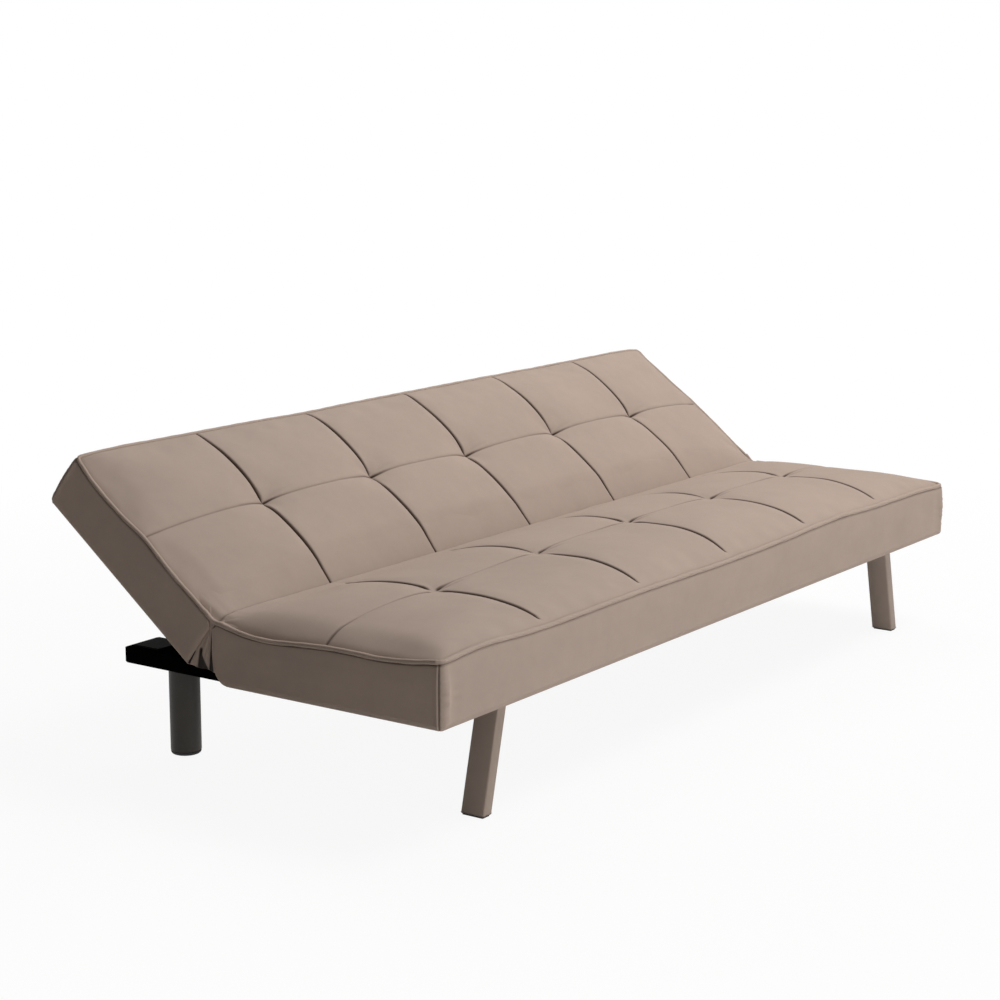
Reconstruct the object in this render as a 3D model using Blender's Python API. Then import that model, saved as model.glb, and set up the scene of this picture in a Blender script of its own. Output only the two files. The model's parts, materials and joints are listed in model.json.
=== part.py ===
"""Click-clack sofa bed: two tufted panels on wooden frames that fold about one crease line.

Metres, +Z up. The origin lies on the floor under the middle of the whole piece, X runs along its
length and the front faces -Y. Each panel is drawn in its own frame on the hinge axis: x along the
length, p away from the crease in the plane of the panel, n up through its upholstered face.
"""

import math
from dataclasses import dataclass

import bmesh
import bpy
from mathutils import Matrix, Vector
from mathutils.geometry import convex_hull_2d

# Overall sizes
LENGTH = 1.90
SEAT_DEPTH = 0.494
SEAT_THICK = 0.116
SEAT_UNDERSIDE = 0.195
BACK_LENGTH = 0.415
RECLINE = math.radians(38)
UPRIGHT = math.radians(84)

# Clearance between pieces that touch
FIT = 0.0003

# Crease: the hinge axis lies under the seam plane, each panel stops short of it
PIVOT_DROP = 0.014
CREASE_GAP = 0.0015
SEAT_CORNER_ROUND = 0.040

# Cushions: heights above the seam plane, foam depths below it
COLUMNS = 6
ROWS = 2
COLUMN_PITCH = 0.32
SEAT_FOAM = 0.0375
BACK_FOAM = 0.034
SEAT_TUFT_RISE = 0.037
SEAT_CROWN = 0.048
BACK_TUFT_RISE = 0.014
BACK_CROWN = 0.030
EDGE_RAMP = 0.120
END_RAMP = 0.160
SEAT_CREASE_RAMP = 0.185
BACK_CREASE_RAMP = 0.060
DRAW_IN = 0.004
SEAM_SHARE = 0.50
ROW_SHARE = 0.35
PILLOW_POWER = 0.55
COLUMN_STEPS = 7
ROW_STEPS = 7

# Covers
PANEL_THICK = 0.010
PANEL_ROUND = 0.008
CREASE_PANEL_THICK = 0.004
PIPING_RADIUS = 0.003
PIPING_INSET = 0.007
PIPING_ROUND = 0.012
COVER_THICK = 0.001
GUSSET_THICK = 0.0015
GUSSET_PLEATS = 4
GUSSET_FOLD = 0.003
GUSSET_INNER = 0.020
GUSSET_MARGIN = 0.008

# Frames
RAIL_THICK = 0.022
SIDE_RAIL_THICK = 0.030
SIDE_SETBACK = 0.014
SLAT_WIDTH = 0.050
SLAT_HEIGHT = 0.040
INNER_SLAT_X = 0.265

# Springs and webbing
SPRING_COUNT = 8
SPRING_WAVES = 6
SPRING_RADIUS = 0.00175
SPRING_SWING = 0.026
SPRING_LAP = 0.010
TIE_RADIUS = 0.0012
TIE_WAVE = 3
STRAP_COUNT = 8
STRAP_WIDTH = 0.060
STRAP_THICK = 0.002
STRAP_LAP = 0.016

# Front legs: flat bars splayed outwards
FRONT_LEG_FROM_END = 0.169
FRONT_LEG_FROM_FACE = 0.055
FRONT_LEG_SPLAY = 0.2426
FRONT_LEG_WIDTH = 0.025
FRONT_LEG_DEPTH = 0.048
FRONT_LEG_ROUND = 0.003
GLIDE_HEIGHT = 0.002
GLIDE_INSET = 0.003
LEG_PLATE_SIDE = 0.076
LEG_PLATE_THICK = 0.003
LEG_BLOCK_MARGIN = 0.040
LEG_BLOCK_DEPTH = 0.075
LEG_BLOCK_HEIGHT = 0.045
STUD_RADIUS = 0.004
STUD_END_GAP = 0.003
STUD_SIDES = 10
FRONT_STUD_LENGTH = 0.020

# Rear arms and legs
ARM_FROM_END = 0.150
ARM_WIDTH = 0.085
ARM_THICK = 0.031
ARM_REACH = 0.316
ARM_LAP = 0.170
ARM_ROUND = 0.009
REST_PAD_THICK = 0.0037
REST_PAD_LENGTH = 0.060
REST_PAD_MARGIN = 0.010
REAR_LEG_RADIUS = 0.0285
REAR_LEG_BEHIND = 0.205
REAR_FOOT_HEIGHT = 0.006
REAR_FOOT_RADIUS = 0.0280
REAR_FOOT_ROUND = 0.0045
REAR_STUD_LENGTH = 0.018

# Click-clack hinges
PLATE_THICK = 0.003
EAR_RADIUS = 0.011
STRIP_RADIUS = 0.013
STRIP_START = 0.030
STRIP_END = 0.140
PIN_RADIUS = 0.004
PIN_HEAD_RADIUS = 0.0075
PIN_HEAD = 0.0025
NOTCH_CLEAR = 0.0008
SECTOR_RADIUS = 0.024
SECTOR_NOTCH_RADIUS = 0.020
SECTOR_ROOT = 0.007
SECTOR_THIN = 0.0002
NOTCH_FLOOR_HALF = math.radians(9.5)
NOTCH_MOUTH_HALF = math.radians(13.5)
SECTOR_END = math.radians(8)
PAWL_ANGLE = math.radians(260)
PAWL_GAP = 0.0013
PAWL_ARM = 0.0454
PAWL_TOOTH = 0.0063
PAWL_TOOTH_HALF = 0.0022
PAWL_BAR_TOP = 0.001
PAWL_HEAD = 0.006
PAWL_PIN_RADIUS = 0.0025
PAWL_PIN_HEAD = 0.0045
LEAF_BOSS = 0.005
LEAF_TIP = 0.0005
LEAF_BOSS_P = 0.086
LEAF_BOSS_DROP = 0.0165
LEAF_TIP_P = 0.018

# Facets of round pieces, and how far a cut runs past its host
ROUND_SIDES = 32
CUT_MARGIN = 0.01

# Places that follow from the sizes above
HINGE_HEIGHT = SEAT_UNDERSIDE + SEAT_THICK - PIVOT_DROP
BACK_THICK = SEAT_THICK - REST_PAD_THICK - FIT
RAIL_OUTER = LENGTH / 2 - PANEL_THICK - FIT
RAIL_INNER = RAIL_OUTER - SIDE_RAIL_THICK
PANEL_TOP = PIVOT_DROP - PIPING_RADIUS - FIT
CUSHION_EDGE = PIPING_INSET + PIPING_RADIUS + FIT
CUSHION_CORNER_CUT = (1 - math.sqrt(0.5)) * (PIPING_ROUND - PIPING_RADIUS - FIT)
PIN_TAIL = RAIL_OUTER - PIN_HEAD - FIT
BACK_PLATE_X = PIN_TAIL - FIT - PLATE_THICK
SEAT_PLATE_X = BACK_PLATE_X - FIT - PLATE_THICK
NOTCH_X = SEAT_PLATE_X - FIT - PIN_HEAD - NOTCH_CLEAR
NOTCH_TOP = EAR_RADIUS + NOTCH_CLEAR
HINGE_END = STRIP_END + STRIP_RADIUS + CUT_MARGIN
SPRING_LAYER = 2 * SPRING_RADIUS + FIT
STRAP_LAYER = STRAP_THICK + FIT
PAWL_P = PAWL_ARM - math.cos(PAWL_ANGLE) * (SECTOR_RADIUS + PAWL_GAP)
PAWL_N = math.sin(PAWL_ANGLE) * (SECTOR_RADIUS + PAWL_GAP) - PAWL_TOOTH
ARM_TOP = PIVOT_DROP - SEAT_THICK - FIT
ARM_X = LENGTH / 2 - ARM_FROM_END
FLOOR = -HINGE_HEIGHT
SIDES = (("left", -1), ("right", 1))


@dataclass
class Panel:
    """One upholstered panel. toward is +1 where p runs along +Y and -1 where it runs along -Y."""

    name: str
    toward: int
    reach: float
    thick: float
    foam: float
    layer: float
    tuft_rise: float
    crown: float
    crease_ramp: float
    corner_round: float
    frame: bpy.types.Object

    def at(self, x, p, n):
        return Vector((x, self.toward * p, n))

    @property
    def underside(self):
        return PIVOT_DROP - self.thick

    @property
    def frame_bottom(self):
        return self.underside + COVER_THICK + FIT

    @property
    def cushion_base(self):
        return PIVOT_DROP - self.foam

    @property
    def frame_top(self):
        return self.cushion_base - FIT - self.layer

    @property
    def rail_end(self):
        return self.reach - PANEL_THICK - FIT

    @property
    def near_rail(self):
        return CREASE_GAP + CREASE_PANEL_THICK + FIT

    @property
    def strip_n(self):
        return (self.frame_bottom + self.frame_top) / 2

    def corner_lift(self, p):
        """Height of the rounded lower corner above the underside at distance p from the crease."""
        left = self.corner_round - (p - CREASE_GAP)
        if left <= 0:
            return 0.0
        return self.corner_round - math.sqrt(self.corner_round ** 2 - left ** 2)


def clear_scene():
    for obj in list(bpy.data.objects):
        bpy.data.objects.remove(obj)


def material(name, colour, roughness, metallic=0.0):
    made = bpy.data.materials.new(name)
    made.use_nodes = True
    shader = made.node_tree.nodes["Principled BSDF"]
    shader.inputs["Base Color"].default_value = (*colour, 1.0)
    shader.inputs["Roughness"].default_value = roughness
    shader.inputs["Metallic"].default_value = metallic
    return made


def empty(name, location, parent=None, tilt=0.0):
    made = bpy.data.objects.new(name, None)
    made.location = location
    made.rotation_euler.x = tilt
    made.parent = parent
    bpy.context.scene.collection.objects.link(made)
    return made


def place(obj, parent, look):
    obj.data.materials.append(look)
    obj.parent = parent
    bpy.context.scene.collection.objects.link(obj)
    return obj


def solid(name, bm, parent, look, smooth=False):
    """Turns a closed bmesh into a named object under its parent."""
    bmesh.ops.recalc_face_normals(bm, faces=bm.faces)
    mesh = bpy.data.meshes.new(name)
    bm.to_mesh(mesh)
    bm.free()
    if smooth:
        mesh.shade_smooth()
        mesh.set_sharp_from_angle(angle=math.radians(40))
    return place(bpy.data.objects.new(name, mesh), parent, look)


def add_box(bm, low, high):
    """Adds a box between two opposite corners."""
    corners = [(x, y, z) for x in (low.x, high.x) for y in (low.y, high.y) for z in (low.z, high.z)]
    verts = [bm.verts.new(corner) for corner in corners]
    for face in ((0, 1, 3, 2), (4, 6, 7, 5), (0, 4, 5, 1), (2, 3, 7, 6), (0, 2, 6, 4), (1, 5, 7, 3)):
        bm.faces.new([verts[i] for i in face])


def add_prism(bm, outline, put, low, high):
    """Extrudes an outline of pairs between two depths. put gives the point of a pair at a depth."""
    ends = [[bm.verts.new(put(a, b, depth)) for a, b in outline] for depth in (low, high)]
    for end in ends:
        bm.faces.new(end)
    count = len(outline)
    for i in range(count):
        j = (i + 1) % count
        bm.faces.new((ends[0][i], ends[0][j], ends[1][j], ends[1][i]))


def add_lathe(bm, profile, origin, axis, sides):
    """Turns a profile of radius and height pairs about an axis, closed at both ends."""
    turn = Vector((0, 0, 1)).rotation_difference(axis).to_matrix()
    rings = []
    for radius, along in profile:
        angles = [2 * math.pi * i / sides for i in range(sides)]
        points = [Vector((radius * math.cos(a), radius * math.sin(a), along)) for a in angles]
        rings.append([bm.verts.new(origin + turn @ point) for point in points])
    for lower, upper in zip(rings, rings[1:]):
        for i in range(sides):
            j = (i + 1) % sides
            bm.faces.new((lower[i], lower[j], upper[j], upper[i]))
    bm.faces.new(rings[0])
    bm.faces.new(rings[-1])


def combine(host, tool, operation):
    """Cuts a helper mesh out of a host, or joins it on."""
    tool.hide_render = True
    tool.display_type = "WIRE"
    change = host.modifiers.new(tool.name, "BOOLEAN")
    change.operation = operation
    change.object = tool


def cut_box(host, name, low, high, look):
    bm = bmesh.new()
    add_box(bm, low, high)
    combine(host, solid(f"{host.name}_{name}", bm, host.parent, look), "DIFFERENCE")


def drill(host, name, start, axis, length, radius, look, sides):
    """Drills a round hole with a running clearance, from just before its start."""
    bm = bmesh.new()
    profile = [(radius + FIT, -CUT_MARGIN / 4), (radius + FIT, length)]
    add_lathe(bm, profile, start, axis, sides)
    combine(host, solid(f"{host.name}_{name}", bm, host.parent, look), "DIFFERENCE")


def arc(centre, radius, start, end, steps):
    angles = [start + (end - start) * i / steps for i in range(steps + 1)]
    return [(centre[0] + radius * math.cos(a), centre[1] + radius * math.sin(a)) for a in angles]


def hull(circles, steps=20):
    """The outline that a tight band round some circles makes."""
    points = []
    for p, n, radius in circles:
        points += arc((p, n), radius, 0, 2 * math.pi * (steps - 1) / steps, steps - 1)
    return [points[i] for i in convex_hull_2d(points)]


def crease_line(n):
    """Distance from the crease plane at height n: upright above the axis the panels lean apart."""
    return CREASE_GAP + max(n, 0.0) * math.tan(UPRIGHT / 2)


def panel_box(panel, name, x, p, n, look):
    """A box in a panel's frame, from ranges of x, p and n."""
    low, high = panel.at(x[0], p[0], n[0]), panel.at(x[1], p[1], n[1])
    bm = bmesh.new()
    add_box(bm, low, high)
    solid(f"{panel.name}_{name}", bm, panel.frame, look)


def column_x(u, half):
    """Where column line u lies along the length: inner columns share one pitch."""
    inner = COLUMN_PITCH * (u - COLUMNS / 2)
    if u < 1:
        return -half + (half - COLUMN_PITCH * (COLUMNS / 2 - 1)) * u
    if u > COLUMNS - 1:
        return half - (half - COLUMN_PITCH * (COLUMNS / 2 - 1)) * (COLUMNS - u)
    return inner


def pillow(t):
    """Swell across one cell, 0 on its seams and 1 in its middle."""
    part = t - math.floor(t)
    return max(4 * part * (1 - part), 0.0) ** PILLOW_POWER


def ramp(distance, width):
    part = min(distance / width, 1.0)
    return part * (2 - part)


def eased(steps, cells):
    """Grid lines over some cells, closer together beside each seam."""
    lines = []
    for i in range(steps * cells + 1):
        cell, step = divmod(i, steps)
        lines.append(cell + (1 - math.cos(math.pi * step / steps)) / 2)
    return lines


def tufted_top(panel):
    """Rows of points over the tufted face, from the crease to the far edge."""
    half = LENGTH / 2 - CUSHION_EDGE
    near = crease_line(PIVOT_DROP)
    far = panel.reach - CUSHION_EDGE
    rows = []
    for v in eased(ROW_STEPS, ROWS):
        row = []
        for u in eased(COLUMN_STEPS, COLUMNS):
            across = u / COLUMNS * 2 - 1
            along = v / ROWS
            x = column_x(u, half) * (1 - DRAW_IN / half * math.sin(math.pi * along))
            p = near + (far - near - DRAW_IN * (1 - across ** 2)) * along
            edge = ramp(half - abs(column_x(u, half)), END_RAMP) * ramp(far - p, EDGE_RAMP)
            edge *= ramp(p - near, panel.crease_ramp)
            if v == ROWS or u in (0, COLUMNS):
                edge = 0.0
            if v == ROWS and u in (0, COLUMNS):
                x -= math.copysign(CUSHION_CORNER_CUT, x)
                p -= CUSHION_CORNER_CUT
            swell = SEAM_SHARE * pillow(v) + ROW_SHARE * pillow(u)
            swell += (1 - SEAM_SHARE - ROW_SHARE) * pillow(u) * pillow(v)
            rise = panel.tuft_rise + (panel.crown - panel.tuft_rise) * swell
            row.append((x, p, PIVOT_DROP + edge * rise))
        rows.append(row)
    return rows


def make_cushion(panel, look):
    """Foam and cover in one: a tufted, crowned face with drawn-in sides on a flat base."""
    rows = tufted_top(panel)
    bm = bmesh.new()
    grid = [[bm.verts.new(panel.at(*point)) for point in row] for row in rows]
    for lower, upper in zip(grid, grid[1:]):
        for i in range(len(lower) - 1):
            bm.faces.new((lower[i], lower[i + 1], upper[i + 1], upper[i]))
    rim = [*rows[0], *(row[-1] for row in rows[1:]), *rows[-1][-2::-1], *(row[0] for row in rows[-2:0:-1])]
    edge = [*grid[0], *(row[-1] for row in grid[1:]), *grid[-1][-2::-1], *(row[0] for row in grid[-2:0:-1])]
    for n in (0.0, panel.cushion_base):
        ring = []
        for x, p, _ in rim:
            back = crease_line(PIVOT_DROP) - crease_line(n) if p <= crease_line(PIVOT_DROP) else 0.0
            ring.append(bm.verts.new(panel.at(x, p - back, n)))
        for i in range(len(ring)):
            j = (i + 1) % len(ring)
            bm.faces.new((edge[i], edge[j], ring[j], ring[i]))
        edge = ring
    bm.faces.new(edge)
    cushion = solid(f"{panel.name}_cushion", bm, panel.frame, look, smooth=True)
    for side, sign in SIDES:
        low = panel.at(sign * NOTCH_X, -CUT_MARGIN, panel.cushion_base - CUT_MARGIN)
        high = panel.at(sign * LENGTH / 2, HINGE_END, NOTCH_TOP)
        cut_box(cushion, f"{side}_hinge_notch", low, high, look)
        cushion.modifiers[-1].solver = "MANIFOLD"


def make_panels(panel, far_name, near_name, look):
    """The boxing: a far panel over the whole length, two sides, and one inside the crease."""
    half = LENGTH / 2
    inner = panel.rail_end + FIT
    quarter = math.pi / 2
    right = arc((half - PANEL_ROUND, panel.reach - PANEL_ROUND), PANEL_ROUND, 0, quarter, 4)
    outline = [(half, inner), *right, *[(-x, p) for x, p in reversed(right)], (-half, inner)]
    bm = bmesh.new()
    add_prism(bm, outline, panel.at, panel.underside, PANEL_TOP)
    solid(f"{panel.name}_{far_name}_panel", bm, panel.frame, look)

    low, end = panel.underside, panel.rail_end
    foot = [(CREASE_GAP, low)]
    if panel.corner_round:
        centre = (CREASE_GAP + panel.corner_round, low + panel.corner_round)
        foot = arc(centre, panel.corner_round, math.pi, 3 * quarter, 6)
    outline = [*foot, (end, low), (end, PANEL_TOP), (crease_line(PANEL_TOP), PANEL_TOP), (CREASE_GAP, 0)]
    for side, sign in SIDES:
        bm = bmesh.new()
        add_prism(bm, outline, lambda p, n, x: panel.at(x, p, n), sign * (half - PANEL_THICK), sign * half)
        solid(f"{panel.name}_{side}_panel", bm, panel.frame, look)

    start = max(panel.frame_bottom, low + panel.corner_lift(CREASE_GAP + CREASE_PANEL_THICK / 2))
    width = RAIL_INNER - FIT
    crease = (CREASE_GAP, CREASE_GAP + CREASE_PANEL_THICK)
    panel_box(panel, f"{near_name}_panel", (-width, width), crease, (start, panel.cushion_base - FIT), look)


def make_piping(panel, look):
    """A cord-filled edge on the seam, along both sides and the far edge."""
    half = LENGTH / 2 - PIPING_INSET
    far = panel.reach - PIPING_INSET
    start = crease_line(PIVOT_DROP + PIPING_RADIUS)
    bend = arc((half - PIPING_ROUND, far - PIPING_ROUND), PIPING_ROUND, 0, math.pi / 2, 5)
    path = [(half, start), *bend, *[(-x, p) for x, p in reversed(bend)], (-half, start)]
    data = bpy.data.curves.new(f"{panel.name}_piping", "CURVE")
    data.dimensions = "3D"
    data.bevel_depth = PIPING_RADIUS
    data.bevel_resolution = 2
    data.use_fill_caps = True
    line = data.splines.new("POLY")
    line.points.add(len(path) - 1)
    for point, (x, p) in zip(line.points, path):
        point.co = (*panel.at(x, p, PIVOT_DROP), 1.0)
    place(bpy.data.objects.new(f"{panel.name}_piping", data), panel.frame, look)


def make_rails(panel, far_name, near_name, look):
    """Far and near rails between two side rails, which are rebated for the hinge plates."""
    bottom, top = panel.frame_bottom, panel.frame_top
    width = RAIL_INNER - FIT
    span = (panel.rail_end - RAIL_THICK, panel.rail_end)
    panel_box(panel, f"{far_name}_rail", (-width, width), span, (bottom, top), look)
    low = max(bottom, panel.underside + panel.corner_lift(panel.near_rail))
    span = (panel.near_rail, panel.near_rail + RAIL_THICK)
    panel_box(panel, f"{near_name}_rail", (-width, width), span, (low, top), look)

    foot_end = max(SIDE_SETBACK, CREASE_GAP + panel.corner_round)
    foot_steps = 6 if foot_end > SIDE_SETBACK else 0
    foot = []
    for i in range(foot_steps + 1):
        p = SIDE_SETBACK + (foot_end - SIDE_SETBACK) * i / max(foot_steps, 1)
        foot.append((p, max(bottom, panel.underside + panel.corner_lift(p))))
    outline = [*foot, (panel.rail_end, bottom), (panel.rail_end, top), (SIDE_SETBACK, top)]
    rebate = (SEAT_PLATE_X if panel.toward < 0 else BACK_PLATE_X) - FIT
    for side, sign in SIDES:
        bm = bmesh.new()
        add_prism(bm, outline, lambda p, n, x: panel.at(x, p, n), sign * RAIL_INNER, sign * RAIL_OUTER)
        rail = solid(f"{panel.name}_{side}_rail", bm, panel.frame, look)
        low_corner = panel.at(sign * rebate, -CUT_MARGIN, bottom - CUT_MARGIN)
        high_corner = panel.at(sign * LENGTH / 2, HINGE_END, top + CUT_MARGIN)
        cut_box(rail, "rebate", low_corner, high_corner, look)


def make_slat(panel, name, x, end, look):
    """A cross slat from the near rail to end, flush with the bottom of the frame."""
    start = panel.near_rail + RAIL_THICK + FIT
    height = (panel.frame_bottom, panel.frame_bottom + SLAT_HEIGHT)
    panel_box(panel, f"slat_{name}", (x - SLAT_WIDTH / 2, x + SLAT_WIDTH / 2), (start, end), height, look)


def spread(count, half):
    """Even places along the length for a number of like pieces."""
    return [half * (2 * i + 1 - count) / count for i in range(count)]


def add_wire(bm, path, radius, put):
    """Sweeps a square section along a flat path of pairs. put gives the point of a pair at a height."""
    rings = []
    for i, spot in enumerate(path):
        here = Vector(spot)
        before = (here - Vector(path[i - 1])).normalized() if i else None
        after = (Vector(path[i + 1]) - here).normalized() if i + 1 < len(path) else before
        before = before or after
        mitre = (before + after).normalized()
        side = Vector((-mitre.y, mitre.x)) * radius / mitre.dot(after)
        places = ((here - side, 0), (here, -radius), (here + side, 0), (here, radius))
        rings.append([bm.verts.new(put(flat.x, flat.y, height)) for flat, height in places])
    for first, second in zip(rings, rings[1:]):
        for i in range(4):
            j = (i + 1) % 4
            bm.faces.new((first[i], first[j], second[j], second[i]))
    bm.faces.new(rings[0])
    bm.faces.new(rings[-1])


def make_springs(panel, look):
    """Zigzag springs laid over the near and far rails, linked by one tie wire across them."""
    near = panel.near_rail + SPRING_LAP
    far = panel.rail_end - SPRING_LAP
    run_near = panel.near_rail + RAIL_THICK + SPRING_LAP
    run_far = panel.rail_end - RAIL_THICK - SPRING_LAP
    level = panel.frame_top + FIT + SPRING_RADIUS
    wave = (run_far - run_near) / SPRING_WAVES
    places = spread(SPRING_COUNT, RAIL_INNER)

    def put(x, p, height):
        return panel.at(x, p, level + height)

    springs = bmesh.new()
    for x in places:
        path = [(x, near), (x, run_near)]
        for i in range(SPRING_WAVES):
            for phase, side in ((0.15, 1), (0.35, 1), (0.65, -1), (0.85, -1)):
                path.append((x + side * SPRING_SWING, run_near + wave * (i + phase)))
        add_wire(springs, [*path, (x, run_far), (x, far)], SPRING_RADIUS, put)
    tie = bmesh.new()
    cross = run_near + wave * (TIE_WAVE + 0.25)
    add_wire(tie, [(places[0], cross), (places[-1] + 2 * SPRING_SWING, cross)], TIE_RADIUS, put)
    web = solid(f"{panel.name}_springs", tie, panel.frame, look)
    combine(web, solid(f"{panel.name}_spring_wires", springs, panel.frame, look), "UNION")


def make_webbing(panel, look):
    """Elastic straps from rail to rail, with one strap across them, as one flat lattice."""
    near = panel.near_rail + RAIL_THICK - STRAP_LAP
    far = panel.rail_end - RAIL_THICK + STRAP_LAP
    middle = (near + far) / 2
    half = STRAP_WIDTH / 2
    places = spread(STRAP_COUNT, RAIL_INNER)
    columns = [x + side for x in places for side in (-half, half)]
    rows = (near, middle - half, middle + half, far)
    base = panel.frame_top + FIT
    bm = bmesh.new()
    grid = [[bm.verts.new(panel.at(x, p, base)) for x in columns] for p in rows]
    for j in range(len(rows) - 1):
        for i in range(len(columns) - 1):
            if i % 2 == 0 or j == 1:
                bm.faces.new((grid[j][i], grid[j][i + 1], grid[j + 1][i + 1], grid[j + 1][i]))
    raised = bmesh.ops.extrude_face_region(bm, geom=list(bm.faces), use_keep_orig=True)["geom"]
    for vert in (item for item in raised if isinstance(item, bmesh.types.BMVert)):
        vert.co.z += STRAP_THICK
    solid(f"{panel.name}_webbing", bm, panel.frame, look)


def make_under_cover(panel, name, look):
    """A thin cloth stretched over the underside of a frame."""
    start = max(SIDE_SETBACK, CREASE_GAP + panel.corner_round)
    depth = (panel.underside, panel.underside + COVER_THICK)
    panel_box(panel, name, (-RAIL_OUTER, RAIL_OUTER), (start, panel.rail_end), depth, look)


def front_leg_x(n):
    """Distance of a front leg's middle from the centre at height n: it leans out towards the floor."""
    return LENGTH / 2 - FRONT_LEG_FROM_END - FRONT_LEG_SPLAY * (n - FLOOR)


def make_front_legs(seat, looks):
    """Splayed flat legs with glides, each hung by a stud from a plate under the frame."""
    plate_top = seat.underside - FIT
    plate_low = plate_top - LEG_PLATE_THICK
    leg_top = plate_low - FIT
    p = SEAT_DEPTH - FRONT_LEG_FROM_FACE
    for side, sign in SIDES:
        leg_low = FLOOR + GLIDE_HEIGHT + FIT
        leg = make_front_leg(f"front_leg_{side}", seat, sign, p, leg_low, leg_top, looks["leg"])
        make_glide(f"front_glide_{side}", seat, seat.at(sign * front_leg_x(FLOOR), p, FLOOR), looks["rubber"])
        x = sign * front_leg_x(leg_top)
        make_leg_plate(f"front_leg_plate_{side}", seat, x, p, plate_low, plate_top, looks["steel"])
        start, down = seat.at(x, p, leg_top), Vector((0, 0, -1))
        drill(leg, "stud_hole", start, down, FRONT_STUD_LENGTH, STUD_RADIUS, looks["leg"], STUD_SIDES)
        make_leg_block(f"seat_leg_block_{side}", seat, x, sign, looks["pine"])


def make_glide(name, seat, foot, look):
    """A thin pad under a front leg, a little smaller than the leg."""
    reach = Vector((FRONT_LEG_WIDTH / 2 - GLIDE_INSET, FRONT_LEG_DEPTH / 2 - GLIDE_INSET, 0))
    bm = bmesh.new()
    add_box(bm, foot - reach, foot + reach + Vector((0, 0, GLIDE_HEIGHT)))
    solid(name, bm, seat.frame, look)


def make_leg_block(name, seat, x, sign, look):
    """A block behind the front rail, over the leg plate and as far out as the arm's slat."""
    far = seat.rail_end - RAIL_THICK - FIT
    inner = min(abs(x) - LEG_BLOCK_MARGIN, ARM_X - SLAT_WIDTH / 2)
    outer = max(abs(x) + LEG_BLOCK_MARGIN, ARM_X + SLAT_WIDTH / 2)
    low = seat.at(sign * inner, far, seat.frame_bottom)
    high = seat.at(sign * outer, far - LEG_BLOCK_DEPTH, seat.frame_bottom + LEG_BLOCK_HEIGHT)
    bm = bmesh.new()
    add_box(bm, low, high)
    solid(name, bm, seat.frame, look)


def make_front_leg(name, seat, sign, p, low, high, look):
    """A rounded bar, cut level at both ends and sheared outwards."""
    bm = bmesh.new()
    half = Vector((FRONT_LEG_WIDTH / 2, FRONT_LEG_DEPTH / 2, 0))
    add_box(bm, -half + Vector((0, 0, low)), half + Vector((0, 0, high)))
    upright = [edge for edge in bm.edges if abs(edge.verts[0].co.z - edge.verts[1].co.z) > FIT]
    bmesh.ops.bevel(bm, geom=upright, offset=FRONT_LEG_ROUND, segments=2, profile=0.5, affect="EDGES")
    for vert in bm.verts:
        vert.co += seat.at(sign * front_leg_x(vert.co.z), p, 0)
    return solid(name, bm, seat.frame, look, smooth=True)


def make_leg_plate(name, seat, x, p, low, high, look):
    """A square plate with a stud standing out of its underside."""
    bm = bmesh.new()
    side = LEG_PLATE_SIDE / 2
    add_box(bm, seat.at(x - side, p + side, low), seat.at(x + side, p - side, high))
    plate = solid(name, bm, seat.frame, look)
    bm = bmesh.new()
    profile = [(STUD_RADIUS, -LEG_PLATE_THICK / 2), (STUD_RADIUS, FRONT_STUD_LENGTH - STUD_END_GAP)]
    add_lathe(bm, profile, seat.at(x, p, low), Vector((0, 0, -1)), STUD_SIDES)
    combine(plate, solid(f"{name}_stud", bm, seat.frame, look), "UNION")


def make_rear_arms(seat, looks):
    """Arms under the frame that reach back under the flat bed, each on a round leg."""
    top, low = ARM_TOP, ARM_TOP - ARM_THICK
    quarter = math.pi / 2
    for side, sign in SIDES:
        x = sign * ARM_X
        outline = [
            (ARM_LAP, low),
            (ARM_LAP, top),
            *arc((ARM_ROUND - ARM_REACH, top - ARM_ROUND), ARM_ROUND, quarter, 2 * quarter, 5),
            *arc((ARM_ROUND - ARM_REACH, low + ARM_ROUND), ARM_ROUND, 2 * quarter, 3 * quarter, 5),
        ]
        bm = bmesh.new()
        add_prism(bm, outline, lambda p, n, px: seat.at(px, p, n), x - ARM_WIDTH / 2, x + ARM_WIDTH / 2)
        arm = solid(f"rear_arm_{side}", bm, seat.frame, looks["black"])
        rest = -ARM_REACH + ARM_ROUND + REST_PAD_MARGIN
        half = ARM_WIDTH / 2 - REST_PAD_MARGIN
        bm = bmesh.new()
        low_corner = seat.at(x - half, rest + REST_PAD_LENGTH, top + FIT)
        add_box(bm, low_corner, seat.at(x + half, rest, top + REST_PAD_THICK))
        solid(f"rest_pad_{side}", bm, seat.frame, looks["felt"])
        make_rear_leg(side, seat, x, arm, looks)


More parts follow.
